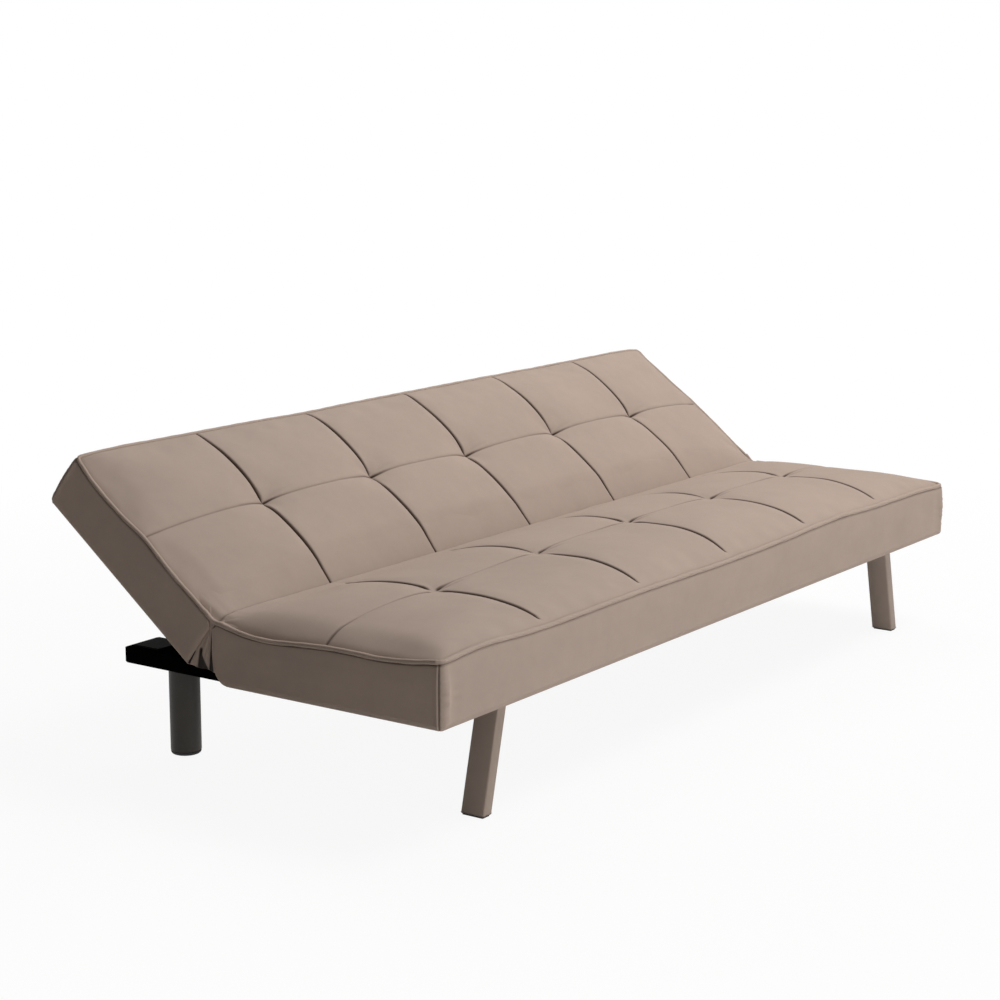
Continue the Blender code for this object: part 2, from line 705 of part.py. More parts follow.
def make_rear_leg(side, seat, x, arm, looks):
    """A round post with a rounded rubber foot, held in the arm by a stud in its top."""
    up = Vector((0, 0, 1))
    foot = seat.at(x, -REAR_LEG_BEHIND, FLOOR)
    height = ARM_TOP - ARM_THICK - FIT - FLOOR
    profile = [
        (REAR_LEG_RADIUS, REAR_FOOT_HEIGHT + FIT),
        (REAR_LEG_RADIUS, height),
        (STUD_RADIUS, height),
        (STUD_RADIUS, height + REAR_STUD_LENGTH),
    ]
    bm = bmesh.new()
    add_lathe(bm, profile, foot, up, ROUND_SIDES)
    solid(f"rear_leg_{side}", bm, seat.frame, looks["graphite"], smooth=True)
    start = foot + up * height
    length = REAR_STUD_LENGTH + STUD_END_GAP
    drill(arm, "stud_hole", start, up, length, STUD_RADIUS, looks["black"], ROUND_SIDES)
    bm = bmesh.new()
    curve = arc((REAR_FOOT_RADIUS - REAR_FOOT_ROUND, REAR_FOOT_ROUND), REAR_FOOT_ROUND, -math.pi / 2, 0, 4)
    add_lathe(bm, [*curve, (REAR_FOOT_RADIUS, REAR_FOOT_HEIGHT)], foot, up, ROUND_SIDES)
    solid(f"rear_foot_{side}", bm, seat.frame, looks["rubber"], smooth=True)


def plate_at(panel, sign):
    return lambda p, n, x: panel.at(sign * x, p, n)


def hinge_plate(panel, name, sign, x, look):
    """A steel bracket: an ear on the hinge axis and a strip along the side rail."""
    ear = (0, 0, EAR_RADIUS)
    strip = [(p, panel.strip_n, STRIP_RADIUS) for p in (STRIP_START, STRIP_END)]
    bm = bmesh.new()
    add_prism(bm, hull([ear, *strip]), plate_at(panel, sign), x, x + PLATE_THICK)
    return solid(name, bm, panel.frame, look)


def sector_radius(angle):
    """Rim of the notched sector: a notch faces the pawl when flat, reclined and fully folded."""
    radius = SECTOR_RADIUS
    for tilt in (0, RECLINE, UPRIGHT):
        off = abs(angle - (PAWL_ANGLE - tilt))
        part = (off - NOTCH_FLOOR_HALF) / (NOTCH_MOUTH_HALF - NOTCH_FLOOR_HALF)
        depth = 1 - min(max(part, 0.0), 1.0)
        radius = min(radius, SECTOR_RADIUS - depth * (SECTOR_RADIUS - SECTOR_NOTCH_RADIUS))
    return radius


def add_sector(plate, panel, name, sign, look):
    """Joins the notched sector to the back's hinge plate."""
    start = PAWL_ANGLE - UPRIGHT - NOTCH_MOUTH_HALF - SECTOR_END
    end = PAWL_ANGLE + NOTCH_MOUTH_HALF + SECTOR_END
    steps = round(math.degrees(end - start) / 2)
    angles = [start + (end - start) * i / steps for i in range(steps + 1)]
    rim = [(sector_radius(a) * math.cos(a), sector_radius(a) * math.sin(a)) for a in angles]
    root = arc((0, 0), SECTOR_ROOT, end, start, 16)
    bm = bmesh.new()
    low, high = BACK_PLATE_X + SECTOR_THIN, BACK_PLATE_X + PLATE_THICK - SECTOR_THIN
    add_prism(bm, rim + root, plate_at(panel, sign), low, high)
    combine(plate, solid(f"{name}_sector", bm, panel.frame, look), "UNION")


def make_hinge(side, sign, seat, back, looks):
    """One click-clack hinge: two plates on a pin, a pawl on its own pin, and a leaf spring."""
    steel, zinc = looks["steel"], looks["zinc"]
    outward = Vector((sign, 0, 0))
    seat_plate = hinge_plate(seat, f"hinge_seat_plate_{side}", sign, SEAT_PLATE_X, zinc)
    back_plate = hinge_plate(back, f"hinge_back_plate_{side}", sign, BACK_PLATE_X, zinc)
    add_sector(back_plate, back, back_plate.name, sign, zinc)

    pin_start = SEAT_PLATE_X - FIT - PIN_HEAD
    inner, outer = PIN_HEAD, PIN_TAIL - pin_start
    profile = [(PIN_HEAD_RADIUS, 0), (PIN_HEAD_RADIUS, inner), (PIN_RADIUS, inner), (PIN_RADIUS, outer)]
    profile += [(PIN_HEAD_RADIUS, outer), (PIN_HEAD_RADIUS, outer + PIN_HEAD)]
    make_pin(f"hinge_pin_{side}", seat.at(sign * pin_start, 0, 0), profile, outward, seat, steel)
    through = 4 * PLATE_THICK
    for plate in (seat_plate, back_plate):
        start = Vector((sign * (SEAT_PLATE_X - PLATE_THICK), 0, 0))
        drill(plate, "pin_hole", start, outward, through, PIN_RADIUS, zinc, ROUND_SIDES)

    spot = seat.at(sign * SEAT_PLATE_X, PAWL_P, PAWL_N)
    length = PIN_TAIL - SEAT_PLATE_X
    profile = [(PAWL_PIN_RADIUS, 0), (PAWL_PIN_RADIUS, length)]
    profile += [(PAWL_PIN_HEAD, length), (PAWL_PIN_HEAD, length + PIN_HEAD)]
    make_pin(f"pawl_pin_{side}", spot, profile, outward, seat, steel)
    start = spot - outward * PLATE_THICK
    drill(seat_plate, "pawl_hole", start, outward, through, PAWL_PIN_RADIUS, zinc, ROUND_SIDES)
    make_pawl(side, sign, seat, zinc)
    make_leaf(side, sign, seat, steel)


def make_pin(name, start, profile, axis, panel, look):
    bm = bmesh.new()
    add_lathe(bm, profile, start, axis, ROUND_SIDES)
    solid(name, bm, panel.frame, look, smooth=True)


def make_pawl(side, sign, seat, look):
    """A latch pawl: a bar from its pin to a tooth that stands just clear of the sector."""
    pivot = empty(f"pawl_axis_{side}", seat.at(0, PAWL_P, PAWL_N), seat.frame)
    head = arc((0, 0), PAWL_HEAD, math.pi / 2, 3 * math.pi / 2, 10)
    tooth = PAWL_TOOTH_HALF
    outline = [
        *head,
        (PAWL_ARM + 1.5 * tooth, -PAWL_HEAD),
        (PAWL_ARM + 1.5 * tooth, PAWL_BAR_TOP),
        (PAWL_ARM + tooth, PAWL_TOOTH),
        (PAWL_ARM - tooth, PAWL_TOOTH),
        (PAWL_ARM - 1.5 * tooth, PAWL_BAR_TOP),
        (PAWL_HEAD, PAWL_BAR_TOP),
    ]
    bm = bmesh.new()
    low, high = sign * BACK_PLATE_X, sign * (BACK_PLATE_X + PLATE_THICK)
    add_prism(bm, outline, lambda y, z, x: Vector((x, y, z)), low, high)
    pawl = solid(f"latch_pawl_{side}", bm, pivot, look)
    start, outward = Vector((sign * SEAT_PLATE_X, 0, 0)), Vector((sign, 0, 0))
    drill(pawl, "pin_hole", start, outward, 4 * PLATE_THICK, PAWL_PIN_RADIUS, look, ROUND_SIDES)


def make_leaf(side, sign, seat, look):
    """A leaf spring under the pawl, thick at its boss and thin at its free end."""
    tip_n = PAWL_N - PAWL_HEAD - FIT - 2 * LEAF_TIP
    outline = hull([(LEAF_BOSS_P, PAWL_N - LEAF_BOSS_DROP, LEAF_BOSS), (LEAF_TIP_P, tip_n, LEAF_TIP)], 12)
    bm = bmesh.new()
    add_prism(bm, outline, plate_at(seat, sign), BACK_PLATE_X, BACK_PLATE_X + PLATE_THICK)
    solid(f"pawl_spring_{side}", bm, seat.frame, look)


def make_gusset(side, sign, seat, look):
    """A pleated fan of cover cloth that closes the wedge between the panels at one end."""
    folds = 2 * GUSSET_PLEATS
    edge = CREASE_GAP - FIT
    outer = BACK_THICK - PIVOT_DROP - GUSSET_MARGIN
    bm = bmesh.new()
    rings = []
    for radius in (GUSSET_INNER, outer):
        front, rear = [], []
        for i in range(folds + 1):
            part = i / folds
            fold = GUSSET_FOLD * radius / outer * (i % 2)
            turn = Matrix.Rotation(RECLINE * part, 3, "X")
            spot = turn @ Vector((0, edge * (2 * part - 1), -radius))
            spot.x = sign * (LENGTH / 2 - GUSSET_FOLD + fold)
            front.append(bm.verts.new(spot))
            rear.append(bm.verts.new(spot - Vector((sign * GUSSET_THICK, 0, 0))))
        for i in range(folds):
            bm.faces.new((front[i], front[i + 1], rear[i + 1], rear[i]))
        rings.append([*front, *reversed(rear)])
    for i in range(len(rings[0])):
        j = (i + 1) % len(rings[0])
        bm.faces.new((rings[0][i], rings[0][j], rings[1][j], rings[1][i]))
    solid(f"gusset_{side}", bm, seat.frame, look)


def make_looks():
    return {
        "fabric": material("taupe_fabric", (0.40, 0.33, 0.275), 0.85),
        "dust": material("black_cloth", (0.015, 0.015, 0.015), 0.9),
        "pine": material("pine", (0.60, 0.43, 0.25), 0.6),
        "leg": material("taupe_paint", (0.27, 0.22, 0.185), 0.45),
        "black": material("black_paint", (0.008, 0.008, 0.008), 0.6),
        "graphite": material("graphite_paint", (0.045, 0.042, 0.038), 0.4),
        "rubber": material("black_rubber", (0.012, 0.012, 0.012), 0.7),
        "felt": material("grey_felt", (0.07, 0.07, 0.07), 0.95),
        "webbing": material("webbing", (0.10, 0.09, 0.075), 0.9),
        "steel": material("steel", (0.55, 0.55, 0.55), 0.35, 1.0),
        "zinc": material("zinc_plate", (0.48, 0.49, 0.50), 0.45, 1.0),
    }


def make_seat(seat, looks):
    """Frame, springs, covers and cushion of the seat, and what stands under it."""
    make_rails(seat, "front", "rear", looks["pine"])
    far = seat.rail_end - RAIL_THICK - FIT
    near = far - LEG_BLOCK_DEPTH - FIT
    for side, sign in SIDES:
        make_slat(seat, f"outer_{side}", sign * ARM_X, near, looks["pine"])
        make_slat(seat, f"inner_{side}", sign * INNER_SLAT_X, far, looks["pine"])
    make_springs(seat, looks["steel"])
    make_cushion(seat, looks["fabric"])
    make_panels(seat, "front", "rear", looks["fabric"])
    make_piping(seat, looks["fabric"])
    make_under_cover(seat, "dust_cover", looks["dust"])
    make_front_legs(seat, looks)
    make_rear_arms(seat, looks)


def make_back(back, looks):
    """Frame, webbing, covers and cushion of the back."""
    make_rails(back, "top", "lower", looks["pine"])
    far = back.rail_end - RAIL_THICK - FIT
    for side, sign in SIDES:
        make_slat(back, side, sign * INNER_SLAT_X, far, looks["pine"])
    make_webbing(back, looks["webbing"])
    make_cushion(back, looks["fabric"])
    make_panels(back, "top", "lower", looks["fabric"])
    make_piping(back, looks["fabric"])
    make_under_cover(back, "rear_cover", looks["fabric"])


def main():
    clear_scene()
    looks = make_looks()
    behind = BACK_LENGTH * math.cos(RECLINE) + (BACK_THICK - PIVOT_DROP) * math.sin(RECLINE)
    root = empty("sofa_bed", (0, (SEAT_DEPTH - behind) / 2, 0))
    seat_frame = empty("seat_frame", (0, 0, HINGE_HEIGHT), root)
    back_frame = empty("back_frame", (0, 0, HINGE_HEIGHT), root, RECLINE)
    seat = Panel(
        "seat", -1, SEAT_DEPTH, SEAT_THICK, SEAT_FOAM, SPRING_LAYER,
        SEAT_TUFT_RISE, SEAT_CROWN, SEAT_CREASE_RAMP, SEAT_CORNER_ROUND, seat_frame,
    )
    back = Panel(
        "back", 1, BACK_LENGTH, BACK_THICK, BACK_FOAM, STRAP_LAYER,
        BACK_TUFT_RISE, BACK_CROWN, BACK_CREASE_RAMP, 0.0, back_frame,
    )
    make_seat(seat, looks)
    make_back(back, looks)
    for side, sign in SIDES:
        make_hinge(side, sign, seat, back, looks)
        make_gusset(side, sign, seat, looks["fabric"])
    bpy.context.view_layer.update()


main()
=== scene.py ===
"""Looks of a click-clack sofa bed: tufted covers, piping, pleated gussets, legs and studio stage.

Metres, +Z up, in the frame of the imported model. Each upholstered slab is drawn in its own frame on the
hinge axis: x along the length, p away from the crease in the plane of the slab, n out of its soft face.
"""

import json
import math

import bmesh
import bpy
import numpy as np
from bpy.props import FloatProperty, FloatVectorProperty, IntProperty, PointerProperty
from mathutils import Matrix, Vector


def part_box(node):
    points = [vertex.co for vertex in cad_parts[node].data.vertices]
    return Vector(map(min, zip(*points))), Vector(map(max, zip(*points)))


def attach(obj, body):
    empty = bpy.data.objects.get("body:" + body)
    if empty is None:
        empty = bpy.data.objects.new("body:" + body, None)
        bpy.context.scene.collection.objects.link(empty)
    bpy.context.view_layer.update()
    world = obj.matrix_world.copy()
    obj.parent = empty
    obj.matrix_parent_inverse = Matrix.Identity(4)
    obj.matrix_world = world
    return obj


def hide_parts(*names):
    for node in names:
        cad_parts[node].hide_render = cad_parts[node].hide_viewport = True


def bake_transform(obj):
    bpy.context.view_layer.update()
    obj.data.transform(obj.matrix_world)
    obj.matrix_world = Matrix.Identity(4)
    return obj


bl_info = {
    "name": "Sofa Bed Looks",
    "version": (1, 0, 0),
    "blender": (4, 5, 0),
    "location": "View3D > Sidebar > Sofa Bed",
    "description": "Dresses the packed sofa bed with cloth, paint and a studio stage",
    "category": "Object",
}

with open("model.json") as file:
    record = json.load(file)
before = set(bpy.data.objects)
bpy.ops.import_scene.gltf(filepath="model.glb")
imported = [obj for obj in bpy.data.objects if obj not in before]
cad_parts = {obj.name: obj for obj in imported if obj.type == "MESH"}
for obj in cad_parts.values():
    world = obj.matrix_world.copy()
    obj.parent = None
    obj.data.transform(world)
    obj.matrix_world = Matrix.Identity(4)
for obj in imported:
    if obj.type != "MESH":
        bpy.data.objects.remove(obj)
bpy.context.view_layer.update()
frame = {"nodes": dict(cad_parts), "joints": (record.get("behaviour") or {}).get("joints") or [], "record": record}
FOLD = next(joint for joint in frame["joints"] if joint["name"] == "back_fold")
HINGE = Vector(FOLD["pos_m"])
RECLINE = -math.radians(FOLD["range_deg"][0])
UPRIGHT = math.radians(FOLD["range_deg"][1] - FOLD["range_deg"][0])
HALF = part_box("seat_front_panel")[1].x
CREASE_GAP = 0.0015
# The lengthwise seam's share of the way from crease to far edge, and how far cloth dips beside a seam
ROW_SHARE = 0.495
VALLEY_DEPTH = 0.001
# Slack in a test of places, so that rounding can't tip it
HAIR = 1e-9
SMOOTH_ANGLE = math.radians(40)
LAMP_AIM = (0, 0, 0.3)
# Steps of the sewn grids beside a seam and away from it
SEAM_STEP = 0.0008
COVER_STEP = 0.0065
CREASE_STEP = 0.0075
# Heights of the small unevenness of the tufted covers
LIP_DEPTH = 0.0016
PUCKER_HEIGHT = 0.0008
SLACK_HEIGHT = 0.0007
CORNER_HEIGHT = 0.0009
CRUSH_HEIGHT = 0.0019
LUMP_HEIGHT = 0.0005
# How far the boxing stands in from the outer face, by the drop below the piping, and its turned-in hem
BOXING_DROPS = (0, 0.0016, 0.0034, 0.006, 0.010, 0.015, 0.040, 0.070, 0.080)
BOXING_INSETS = (0.006, 0.0026, 0.0014, 0.0008, 0.0003, 0, -0.001, -0.001, -0.0006)
HEM = 0.034
BOXING_STEP = 0.0028
# Upright folds of the boxing beside a far corner: height, distance from the end and width
GATHER_FOLDS = ((0.0028, 0.015, 0.008), (-0.0012, 0.037, 0.014))
# Seeds of the uneven waves
SLACK_SEEDS = {"seat": 11, "back": 12}
LUMP_SEED = 5
BOXING_SEED = 21
WEAR_SEED = 31
PIPING_SEED = 41
CREASE_SEED = 51
SAG_SEED = 61
WRINKLE_SEED = 62
PANEL_SEED = 71
# The cloth that settles the covers: its closed form's base, how firmly seams hold it, and its settings
FORM_BASE = -0.03
CROSS_HOLD = 0.55
ROW_HOLD = 0.45
CLOTH_STEPS = 20
CLOTH_GRID = 0.011
CLOTH_SETTINGS = {
    "quality": 6, "mass": 0.25, "tension_stiffness": 20, "compression_stiffness": 12, "shear_stiffness": 8,
    "bending_stiffness": 9.0, "air_damping": 2.0, "vertex_group_mass": "sewn", "pin_stiffness": 1.0,
    "shrink_min": -0.002, "use_pressure": True, "uniform_pressure_force": 4.0,
}
SIDES = (("left", -1), ("right", 1))


def node_extent(node, tilt):
    """Lowest and highest p and n of a CAD node, measured in the frame of a slab tilted about the hinge."""
    spots = np.array([vert.co for vert in frame["nodes"][node].data.vertices]) - np.array(HINGE)
    p = spots[:, 1] * math.cos(tilt) + spots[:, 2] * math.sin(tilt)
    n = spots[:, 2] * math.cos(tilt) - spots[:, 1] * math.sin(tilt)
    return (p.min(), n.min()), (p.max(), n.max())


class Slab:
    """One upholstered slab: where it lies, how high its tufts and crowns stand, how its piping waves."""

    def __init__(self, name, toward, tilt, far_node, side_node, piping_node):
        self.name = name
        self.toward = toward
        self.tilt = tilt
        far_low, far_high = node_extent(far_node, tilt)
        self.reach = max(abs(far_low[0]), abs(far_high[0]))
        self.under = node_extent(side_node, tilt)[0][1]
        pipe_low, pipe_high = node_extent(piping_node, tilt)
        self.rim = (pipe_low[1] + pipe_high[1]) / 2
        self.pipe_radius = (pipe_high[1] - pipe_low[1]) / 2

    def world(self, x, p, n):
        """Places arrays of slab coordinates in the frame of the model."""
        x, p, n = np.broadcast_arrays(np.asarray(x, float), np.asarray(p, float), np.asarray(n, float))
        y = self.toward * p
        ys = y * math.cos(self.tilt) - n * math.sin(self.tilt) + HINGE.y
        zs = y * math.sin(self.tilt) + n * math.cos(self.tilt) + HINGE.z
        return np.stack([x, ys, zs], axis=-1)


SEAT = Slab("seat", -1, 0.0, "seat_front_panel", "seat_left_panel", "seat_piping")
BACK = Slab("back", 1, RECLINE, "back_top_panel", "back_left_panel", "back_piping")
SEAT.corner_round, BACK.corner_round = 0.040, 0.0
SEAT.lower_round, BACK.lower_round = 0.008, 0.013
# Heights of the filling over the piping's plane at even steps from the left end to the right
SEAT.crowns = (0.028, 0.031, 0.041, 0.046, 0.0435, 0.042, 0.037)
BACK.crowns = (0.028, 0.03, 0.031, 0.026, 0.029, 0.026, 0.024)
# Width and fullness of the rise from each edge to the crown
SEAT.rises = {"end": (0.24, 0.75), "far": (0.15, 0.75), "crease": (0.20, 0.85)}
BACK.rises = {"end": (0.33, 1.0), "far": (0.15, 0.65), "crease": (0.10, 0.32)}
SEAT.tuft_drop, BACK.tuft_drop = 0.009, 0.018
SEAT.tuft_reach, BACK.tuft_reach = 0.020, 0.030
SEAT.far_groove, BACK.far_groove = 0.25, 0.15
SEAT.end_groove, BACK.end_groove = (1.0, 1.0), (1.0, 0.0)
SEAT.right_end, BACK.right_end = 1.15, 1.0
# Cloth over the crease: distances from it, its height at the last of them, and how straight it falls
SEAT.crease = (0.080, 0.067, 0.054, 0.045, 0.036, 0.027, 0.018)
BACK.crease = (0.080, 0.067, 0.054, 0.044, 0.034, 0.024, 0.014, 0.004)
SEAT.crease_low, BACK.crease_low = 0.010, 0.0125
SEAT.crease_fall, BACK.crease_fall = 1.1, 1.0
# Waves of the piping at even steps: from the crease to the far corner, then from the left end to the right
SEAT.left_wave = (-0.004, -0.0165, -0.0195, -0.0160, -0.0120, -0.0120, -0.0130, -0.0090, -0.001)
SEAT.right_wave = (0.0, 0.001, 0.002, 0.003, 0.003, 0.003, 0.002, 0.001, -0.001)
BACK.left_wave = (-0.003, -0.0040, -0.0045, -0.0030, -0.0010, -0.0060, -0.0082, -0.0066, -0.003)
BACK.right_wave = (0.001, 0.0015, 0.0015, 0.002, 0.001, -0.002, -0.0045, -0.007, -0.0105)
SEAT.far_wave = (
    -0.0024, 0.0044, -0.0010, -0.0028, -0.0014, -0.0004, -0.0008, -0.0018, -0.0021,
    -0.0008, 0.0018, 0.0059, 0.0069, 0.0028, 0.0016, 0.0008, -0.0050,
)
BACK.far_wave = (
    0.0030, 0.0070, 0.0060, 0.0055, 0.0045, 0.0012, 0.0020, 0.0030, 0.0030,
    0.0030, 0.0025, 0.0020, 0.0010, 0.0005, 0.0010, 0.0010, -0.0030,
)
# Strength of the row seam, strength and reach of its folds beside a tuft, and where cross seams run
SEAT.row_line, BACK.row_line = 0.12, 0.24
SEAT.fold_left, BACK.fold_left = (0.30, 0.09), (0.25, 0.05)
SEAT.fold_right, BACK.fold_right = (0.70, 0.036), (0.50, 0.035)
SEAT.end_line, BACK.end_line = 0.50, 0.34
SEAT.seam_start, BACK.seam_start = (0.028, 0.042), (0.0, 0.010)
SEAT.seam_stop, BACK.seam_stop = 0.010, -0.014
SEAT.tuft_gap, BACK.tuft_gap = 0.006, -0.004
SEAT.lip, BACK.lip = 1.0, 0.35
# Painted shade in dark lines inside the piping, along the seams, under the piping and down the upright corners;
# then the cord
SEAT.end_ink, BACK.end_ink = (0.35, 0.10), (0.28, 0.0)
SEAT.far_ink, BACK.far_ink = 0.0, 0.15
SEAT.ink, BACK.ink = 0.0058, 0.0044
SEAT.row_ink, BACK.row_ink = 0.0052, 0.0034
SEAT.tuck_end, BACK.tuck_end = 0.85, 0.45
SEAT.tuck_far, BACK.tuck_far = 0.45, 0.15
SEAT.corner_ink, BACK.corner_ink = 0.85, 0.20
SEAT.gather, BACK.gather = 1.0, 0.35
SEAT.cord, BACK.cord = 1.42, 1.15
SEAT.cord_sink, BACK.cord_sink = 0.0, 0.0018
# Folds of a gusset: place across it, lean, width, depth, and where down its length each opens
GUSSET_FOLDS = (
    (0.17, 0.05, 0.075, 0.0016, 0.06), (0.43, 0.62, 0.17, 0.0020, 0.50), (0.88, 0.0, 0.05, 0.0014, 0.62),
)
# Cloth of a gusset: assumed flat width, thickness, depth inside the end face and fullness
GUSSET_CLOTH = 0.0012
GUSSET_INSET = 0.0030
GUSSET_SWELL = 0.0026
# Thinner cloths, and the screws' heads: radius, height, and length, width and depth of a slot's arm
CREASE_CLOTH = 0.001
UNDER_CLOTH = 0.0008
HEAD_RADIUS, HEAD_HEIGHT = 0.0042, 0.0026
SLOT_LENGTH, SLOT_WIDTH, SLOT_DEPTH = 0.0044, 0.0009, 0.0016
# Half the square of a leg plate's screws, and the first place and pitch of an arm's
PLATE_SCREW_OFFSET = 0.030
ARM_SCREW_START, ARM_SCREW_PITCH = 0.030, 0.050
SLABS = (SEAT, BACK)


def length_setting(label, told, value):
    return FloatProperty(name=label, description=told, default=value, unit="LENGTH")


def colour_setting(label, told, value):
    return FloatVectorProperty(name=label, description=told, default=value, subtype="COLOR")


def place_setting(label, told, value):
    return FloatVectorProperty(name=label, description=told, default=value, subtype="TRANSLATION")


def angle_setting(label, told, degrees):
    return FloatProperty(name=label, description=told, default=math.radians(degrees), subtype="ANGLE")


def power_setting(label, told, watts):
    return FloatProperty(name=label, description=told, default=watts, unit="POWER")


class SofaCoverSizes(bpy.types.PropertyGroup):
    """Sizes of the sewn covers."""

    column_pitch: length_setting("Column pitch", "Distance between cross seams", 0.32)
    column_count: IntProperty(name="Columns", description="Cushions along the length", default=6, min=2)
    wave_reach: length_setting("Wave reach", "How far in the piping's waves are felt", 0.055)
    rim_drop: length_setting("Rim drop", "How far the cover sinks beside the piping", 0.0028)
    rim_drop_reach: length_setting("Rim drop reach", "Width of that sinking", 0.006)
    seam_depth: length_setting("Seam depth", "Depth of a sewn groove", 0.0058)
    seam_width: length_setting("Seam width", "Half width of a sewn groove", 0.0028)
    tuft_round: length_setting("Tuft round", "Rounding at the bottom of a tuft", 0.004)
    valley_reach: length_setting("Valley reach", "How wide the cloth dips beside a seam", 0.030)
    piping_inset: length_setting("Piping inset", "Piping's seam from the outer face", 0.006)
    piping_proud: length_setting("Piping proud", "How far the cord leans out from its seam", 0.0012)
    boxing_corner: length_setting("Boxing corner", "Rounding of the upright corners", 0.011)
    cloth: length_setting("Cloth thickness", "Thickness of cover cloth", 0.0016)
    cloth_cap: length_setting("Cloth travel", "Most that a point of the covers may settle", 0.003)


class SofaColours(bpy.types.PropertyGroup):
    """Colours of the finishes."""

    fabric: colour_setting("Fabric", "Taupe cover cloth", (0.405, 0.318, 0.266))
    # Seam: the colour of the painted shade down in the seams, under the piping and in the folds
    seam: colour_setting("Seam", "Cloth down in a seam", (0.040, 0.021, 0.012))
    leg: colour_setting("Leg paint", "Front legs", (0.335, 0.258, 0.210))
    post: colour_setting("Post", "Round rear legs", (0.046, 0.040, 0.033))
    arm: colour_setting("Arm", "Rear arms", (0.003, 0.0028, 0.0025))
    rubber: colour_setting("Rubber", "Feet and glides", (0.012, 0.012, 0.012))
    dust_cloth: colour_setting("Dust cloth", "Under the seat", (0.018, 0.018, 0.019))
    pine: colour_setting("Pine", "Frame wood", (0.60, 0.43, 0.25))
    steel: colour_setting("Steel", "Pins and springs", (0.55, 0.55, 0.55))
    zinc: colour_setting("Zinc", "Plated hinge parts", (0.48, 0.49, 0.50))
    felt: colour_setting("Felt", "Rest pads", (0.005, 0.005, 0.005))
    webbing: colour_setting("Webbing", "Elastic straps", (0.10, 0.09, 0.075))


class SofaStage(bpy.types.PropertyGroup):
    """Camera, lamps and floor."""

    camera_place: place_setting("Camera", "Where the camera stands", (-3.7733, -2.5481, 1.2629))
    camera_heading: angle_setting("Heading", "Camera turn from +Y towards +X", 54.78)
    camera_pitch: angle_setting("Pitch", "Camera tilt below the horizon", 11.037)
    camera_lens: FloatProperty(name="Lens", description="Focal length in millimetres", default=82.305)
    key_place: place_setting("Key place", "Lamp over the right", (1.6, -1.5, 4.4))
    key_power: power_setting("Key", "Power of that lamp", 152.0)
    rear_place: place_setting("Rear place", "Lamp over the rear right", (2.5, 1.8, 4.0))
    rear_power: power_setting("Rear", "Power of that lamp", 78.0)
    fill_place: place_setting("Fill place", "Lamp before the seat", (-0.9, -5.0, 1.0))
    fill_power: power_setting("Fill", "Power of that lamp", 98.0)
    lamp_size: length_setting("Lamp size", "Side of each square lamp", 2.6)
    sky_colour: colour_setting("Even light colour", "Colour of the even light", (1.0, 0.86, 0.74))
    sky: FloatProperty(name="Sky", description="Strength of the even light", default=0.06)
    backdrop: FloatProperty(
        name="Backdrop", description="How white the floor looks in the shadow", default=0.92, subtype="FACTOR"
    )
    floor_size: length_setting("Floor size", "Side of the floor", 600.0)
    floor: colour_setting("Floor", "Colour of the floor", (0.80, 0.80, 0.80))


def covers():
    return bpy.context.scene.sofa_covers


def colours():
    return bpy.context.scene.sofa_colours


class Value:
    """A socket of a material. Sums and products of values add the nodes that work them out."""

    def __init__(self, finish, socket):
        self.finish = finish
        self.socket = socket

    def _math(self, operation, first, second):
        return self.finish.node("ShaderNodeMath", {"operation": operation}, {0: first, 1: second})

    def __add__(self, other):
        return self._math("ADD", self, other)

    __radd__ = __add__

    def __sub__(self, other):
        return self._math("SUBTRACT", self, other)

    def __rsub__(self, other):
        return self._math("SUBTRACT", other, self)

    def __mul__(self, other):
        return self._math("MULTIPLY", self, other)

    __rmul__ = __mul__


